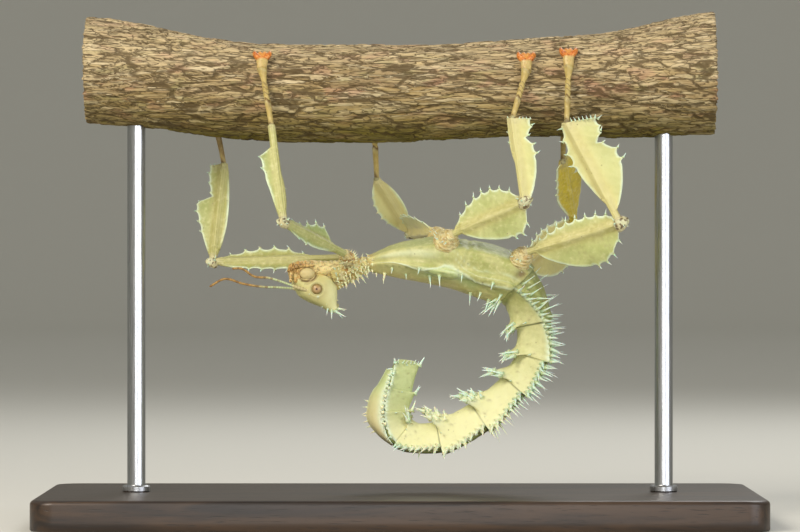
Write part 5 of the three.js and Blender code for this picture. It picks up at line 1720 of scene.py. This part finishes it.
# %% The abdomen's tufts and margins
for first in range(ABDOMEN_START, LAST_ROW):
    shrink = 1 - 0.055 * (first - ABDOMEN_START)
    lobe = LOBE_HEIGHT[first]
    tail, curl, frilled = first > 12, first < 11, first in (10, 11)
    for number in range(1 if tail else 10 if frilled else 6):
        at, place = first + 0.91 - (0.034 if frilled else 0.025) * number, 0.45 + 0.35 * (number % 3)
        aim = (0.1 + 0.45 * sway(first * 5 + number), 0.15 + 0.24 * number, 1.1 - 0.14 * number)
        length = (1.75 + 0.2 * lobe) * (1 + 0.2 * sway(number + first)) * (1 - 0.07 * number * frilled)
        both_sides(at, place, aim, length, 0.32)
    for number in range(THORN_COUNTS["segment"]):
        at = first + (number + 0.9) / 7.2
        long = (2.6 + 0.6 * sway(first * 3 + number)) * shrink
        aim = (0.5, -1.0, 0.3 * sway(number * 3 + first)) if curl else (0.15, -1.0, 0.45)
        if curl or number % 3 == 0:
            both_sides(at, MARGIN + 0.05, aim, long if curl else 0.45 if tail else 1.0 + 0.25 * sway(number), 0.26)
        if 8 < first < 13:
            length = 1.2 + 0.35 * sway(number * 5) + 0.7 * (number == 6)
            both_sides(at - 0.07, MARGIN - 0.05, (0.2, -1.0, 0.7), length, 0.34, 0.15)
    for number in range(THORN_COUNTS["segment"] if curl else 3):
        at = first + (number + 0.5) / (7.3 if curl else 3.2)
        length = (3.2 + 0.6 * sway(first * 7 + number)) * shrink if curl else 1.2
        both_sides(at, 4.3 + 0.7 * sway(number + 2 * first), (0.3, -1.0, 0.35 * sway(number)), length, 0.2)
    both_sides(first + 0.9, 1.9 + 0.4 * sway(first), (0.5, 0.8, 0.3), 1.0 if first < 9 else 0.4, 0.12)

for place in (0.6, 1.3, 2.0, 2.7, 3.4):
    for number in range(2):
        aim = (0.25 * sway(place * 9 + number), 0.3 * sway(place * 5), 1.0)
        both_sides(LAST_ROW - 0.03, place + 0.3 * number, aim, 0.95 - 0.25 * number, 0.15)

# %% Thorns of the tail plate, crown, cheeks and hips
for number in range(THORN_COUNTS["plate edge"]):
    share = 0.06 + number * 0.07
    for angle, sign in ((4, 1), (176, -1)):
        root = plate_point(np.array([share]), np.array([float(angle)]))[0]
        row = np.array([PLATE["from"] + (PLATE["to"] - PLATE["from"]) * share])
        _, right, back, ahead = trunk_frame(row)
        aim = unit(right[0] * sign * 0.8 + back[0] * 0.3 * sway(number) + ahead[0] * 0.55)
        body_thorns.append((root, aim, 0.5 + 0.15 * sway(number * 2), 0.13))
for number in range(THORN_COUNTS["plate keel"]):
    share = 0.14 + number * 0.05
    root = plate_point(np.array([share]), np.array([90.0]))[0]
    _, right, back, ahead = trunk_frame(np.array([PLATE["from"] + (PLATE["to"] - PLATE["from"]) * share]))
    body_thorns.append((root, unit(-back[0] + ahead[0] * 0.3 * sway(number)), 1.0, 0.15))

# crown and cheeks: root as x, out, z; aim along x, out, z; length and girth
CROWN_THORNS = [
    ((-10.45, 0.4, 35.25), (1, 0.2, -0.17), 1.8, 0.2), ((-10.9, 0.5, 35.0), (0.8, 0.25, -0.62), 2.4, 0.3),
    ((-11.2, 0.7, 35.1), (-0.15, 0.3, -1), 1.8, 0.22), ((-11.85, 0.85, 35.5), (-0.25, 0.35, -1), 1.5, 0.2),
    ((-12.6, 0.9, 35.85), (-0.6, 0.5, -0.8), 0.7, 0.14), ((-12.0, 1.2, 36.1), (-0.3, 1, -0.6), 0.6, 0.13),
    ((-10.4, 0.3, 36.6), (1, 0.4, 0.1), 0.35, 0.1), ((-14.9, 1.75, 37.9), (-0.2, 0.8, -0.9), 0.6, 0.13),
    ((-13.4, 1.9, 37.1), (0, 1, -0.3), 0.3, 0.16),
]
for root, aim, length, girth in CROWN_THORNS:
    for side, share in ((RIGHT, 1), (LEFT, 0.85)):
        body_thorns.append((to_side(root, side), unit(to_side(aim, side)), length * share, girth))
for leg, (root, hip, radii) in HIPS.items():
    root, hip = to_side(root, side_of(leg)), to_side(hip, side_of(leg))
    along = unit(hip - root)
    across = unit(np.cross(along, (1, 0, 0)))
    third = np.cross(along, across)
    for number in range(THORN_COUNTS["fore hip" if leg.startswith("fore") else "hip"]):
        turn, share = number * 2.4, 0.25 + 0.6 * ((number * 0.7549) % 1)
        aim = across * math.cos(turn) + third * math.sin(turn)
        reach = float(smooth(radii)(share)) * 0.92
        body_thorns.append((root + (hip - root) * share + aim * reach, unit(aim + along * 0.3), 0.75, 0.13))
print("body thorns:", len(body_thorns), "leg thorns:", len(leg_thorns))


# %% The tree that grows a thorn on each point
def thorn_tree(material):
    sizes = {"Sides": 7, "Length steps": 6, "Bend": 0.14, "Root flare": 0.7, "Seed": 4, "Material": material}
    tree, given, out = group("thorns", sizes)
    shape = {"Radius Top": 0.04, "Radius Bottom": 1.0, "Depth": 1.0}
    cone = add(tree, "GeometryNodeMeshCone", given["Sides"], given["Length steps"], shape, fill_type="NGON")
    position = add(tree, "GeometryNodeInputPosition")
    height = add(tree, "ShaderNodeSeparateXYZ", position, out="Z")
    low = add(tree, "ShaderNodeMath", 1.0, height, operation="SUBTRACT", use_clamp=True)
    steep = add(tree, "ShaderNodeMath", low, 6.0, operation="POWER")
    wide = weighted(tree, 1.0, (steep, given["Root flare"]))
    spread = add(tree, "ShaderNodeCombineXYZ", wide, wide, 1.0)
    shaped = add(tree, "ShaderNodeVectorMath", position, spread, operation="MULTIPLY")
    bend = add(tree, "ShaderNodeCombineXYZ", product(tree, height, height, given["Bend"], 8.0))
    final = add(tree, "ShaderNodeVectorMath", shaped, bend, operation="ADD")
    named = {"Name": "tip", "Value": height}
    body = add(tree, "GeometryNodeStoreNamedAttribute", cone, named, data_type="FLOAT", domain="POINT")
    thorn = add(tree, "GeometryNodeSetPosition", body, {"Position": final})
    aim = add(tree, "GeometryNodeInputNamedAttribute", "aim", data_type="FLOAT_VECTOR")
    reach = add(tree, "GeometryNodeInputNamedAttribute", "reach", data_type="FLOAT")
    girth = add(tree, "GeometryNodeInputNamedAttribute", "girth", data_type="FLOAT")
    facing = add(tree, "FunctionNodeAlignRotationToVector", {"Vector": aim}, axis="Z")
    spin = add(tree, "FunctionNodeRandomValue", 0.0, 2 * math.pi, {"Seed": given["Seed"]}, data_type="FLOAT")
    turned = add(tree, "FunctionNodeAxisAngleToRotation", (0, 0, 1), spin)
    rotation = add(tree, "FunctionNodeRotateRotation", facing, turned, rotation_space="LOCAL")
    scale = add(tree, "ShaderNodeCombineXYZ", girth, girth, reach)
    fitted = {"Instance": thorn, "Rotation": rotation, "Scale": scale}
    placed = add(tree, "GeometryNodeInstanceOnPoints", given["Geometry"], fitted)
    real = add(tree, "GeometryNodeRealizeInstances", placed)
    smooth_shaded = add(tree, "GeometryNodeSetShadeSmooth", real)
    done = add(tree, "GeometryNodeSetMaterial", smooth_shaded, {"Material": given["Material"]})
    tree.links.new(done, out)
    return tree


def thorn_points(name, thorns):
    """A mesh of points only, one at each root, with the thorn's aim and size."""
    mesh = bpy.data.meshes.new(name)
    mesh.from_pydata([tuple(root * MM) for root, *_ in thorns], [], [])
    aims = np.array([unit(np.asarray(aim, float)) for _, aim, *_ in thorns])
    mesh.attributes.new("aim", "FLOAT_VECTOR", "POINT").data.foreach_set("vector", aims.ravel())
    places = np.array([root for root, *_ in thorns])
    x, z = places[:, 0], places[:, 2]
    straw = np.maximum(ease(-11, -10, x) * ease(-1, -3, x), 0.6 * ease(21, 17, z) * ease(0, 3, x))
    mesh.attributes.new("straw", "FLOAT", "POINT").data.foreach_set("value", straw)
    for key, column in (("reach", 2), ("girth", 3)):
        values = [thorn[column] * MM for thorn in thorns]
        mesh.attributes.new(key, "FLOAT", "POINT").data.foreach_set("value", values)
    return mesh


# %% [markdown]
# A thorn is the same cuticle without pigment: chalk white with a mint cast at the
# root, faintly translucent, with a fine brown point.


# %% Thorn finish, and the thorns
def paint_thorn(tree):
    tip, straw = masks_of(tree, "tip", "straw")
    colour = coated(
        tree, "b9c998",
        ("c9e0cb", (tip, 0.02, 0.4)),
        ("e6f3e8", (tip, 0.5, 0.85)),
        ("efe8b6", straw, 0.85),
        ("a08a5c", (tip, 0.93, 1.0), 0.25),
        ("b9c79a", (grain(tree, 0.5, 2.0), 0.5, 0.8), 0.25),
    )
    return colour, (grain(tree, 0.15, 2.0), 0.02)


# clear waxy horn: light passes through it, so it glows against the body
thorn_surface = {"Roughness": 0.35, "Subsurface_Weight": 0.2, "Subsurface_Scale": 0.3 * MM}
thorn_cuticle = finish("pale thorn cuticle", paint_thorn, **thorn_surface)
thorns = thorn_tree(thorn_cuticle)
for name, roots, slot in (("body_thorns", body_thorns, "body_cuticle"), ("leg_thorns", leg_thorns, "leg_cuticle")):
    piece(name, grown(name, thorn_points(name, roots), thorns), thorn_cuticle, slot)
# %% [markdown]
# ## Floor, backdrop and light
#
# A flat floor would end in a hard edge, so a pale one bends up into a plain backdrop
# all round. The lamps are large and soft, as in a museum's workshop: the key lamp
# stands high on the left, and the fill is weaker.

# %% The stage
COVE = {"flat": 2100, "bend": 700, "wall": 1600}


def cove_mesh():
    """A round floor that bends up into a low wall all round, so every side has a backdrop."""
    bend = np.radians(np.linspace(0, 90, 20))
    radius = np.concatenate([[150, 600], COVE["flat"] + COVE["bend"] * np.sin(bend), [COVE["flat"] + COVE["bend"]]])
    z = np.concatenate([[0, 0], COVE["bend"] * (1 - np.cos(bend)), [COVE["wall"]]])
    turn = np.radians(np.arange(96) * 3.75)
    rings = [np.column_stack([r * np.cos(turn), r * np.sin(turn), np.full(96, h)]) for r, h in zip(radius, z)]
    verts = np.vstack([[[0.0, 0.0, 0.0]], *rings]) * MM
    faces = [(0, 1 + i, 1 + (i + 1) % 96) for i in range(96)]
    for ring in range(len(rings) - 1):
        low = 1 + ring * 96
        faces += [(low + i, low + 96 + i, low + 96 + (i + 1) % 96, low + (i + 1) % 96) for i in range(96)]
    mesh = bpy.data.meshes.new("stage")
    mesh.from_pydata(verts.tolist(), [], faces)
    mesh.shade_smooth()
    return mesh


stage = bpy.data.objects.new("stage", cove_mesh())
bpy.context.scene.collection.objects.link(stage)
# uncoated paper: no shine, so the lamps don't show in the floor
paper = finish("pale matt paper", Base_Color=linear("dcdbd3"), Roughness=0.95, Specular_IOR_Level=0.2)
stage.data.materials.append(paper)


# %% The lamps
def lamp(name, place, toward, size, power, warmth="ffffff"):
    data = bpy.data.lights.new(name, "AREA")
    data.shape, data.size, data.energy = "DISK", size * MM, power
    data.color = linear(warmth)[:3]
    obj = bpy.data.objects.new(name, data)
    obj.location = [v * MM for v in place]
    direction = Vector(toward) - Vector(place)
    obj.rotation_euler = direction.to_track_quat("-Z", "Y").to_euler()
    bpy.context.scene.collection.objects.link(obj)


lamp("key", (-320, -420, 380), (0, 0, 40), 260, 2.9, "fff6ea")
lamp("fill", (420, -420, 100), (0, 0, 40), 400, 1.6, "f3f6ff")
lamp("rim", (150, 380, 420), (0, 0, 40), 260, 0.9)
lamp("front", (0, -560, 60), (0, 0, 45), 240, 0.7)
world = bpy.data.worlds.new("studio")
world.use_nodes = True
world.node_tree.nodes["Background"].inputs[0].default_value = linear("f4f3ee")
world.node_tree.nodes["Background"].inputs[1].default_value = 0.42
bpy.context.scene.world = world
# the plain transform keeps each finish's own colour
bpy.context.scene.view_settings.view_transform = "Standard"
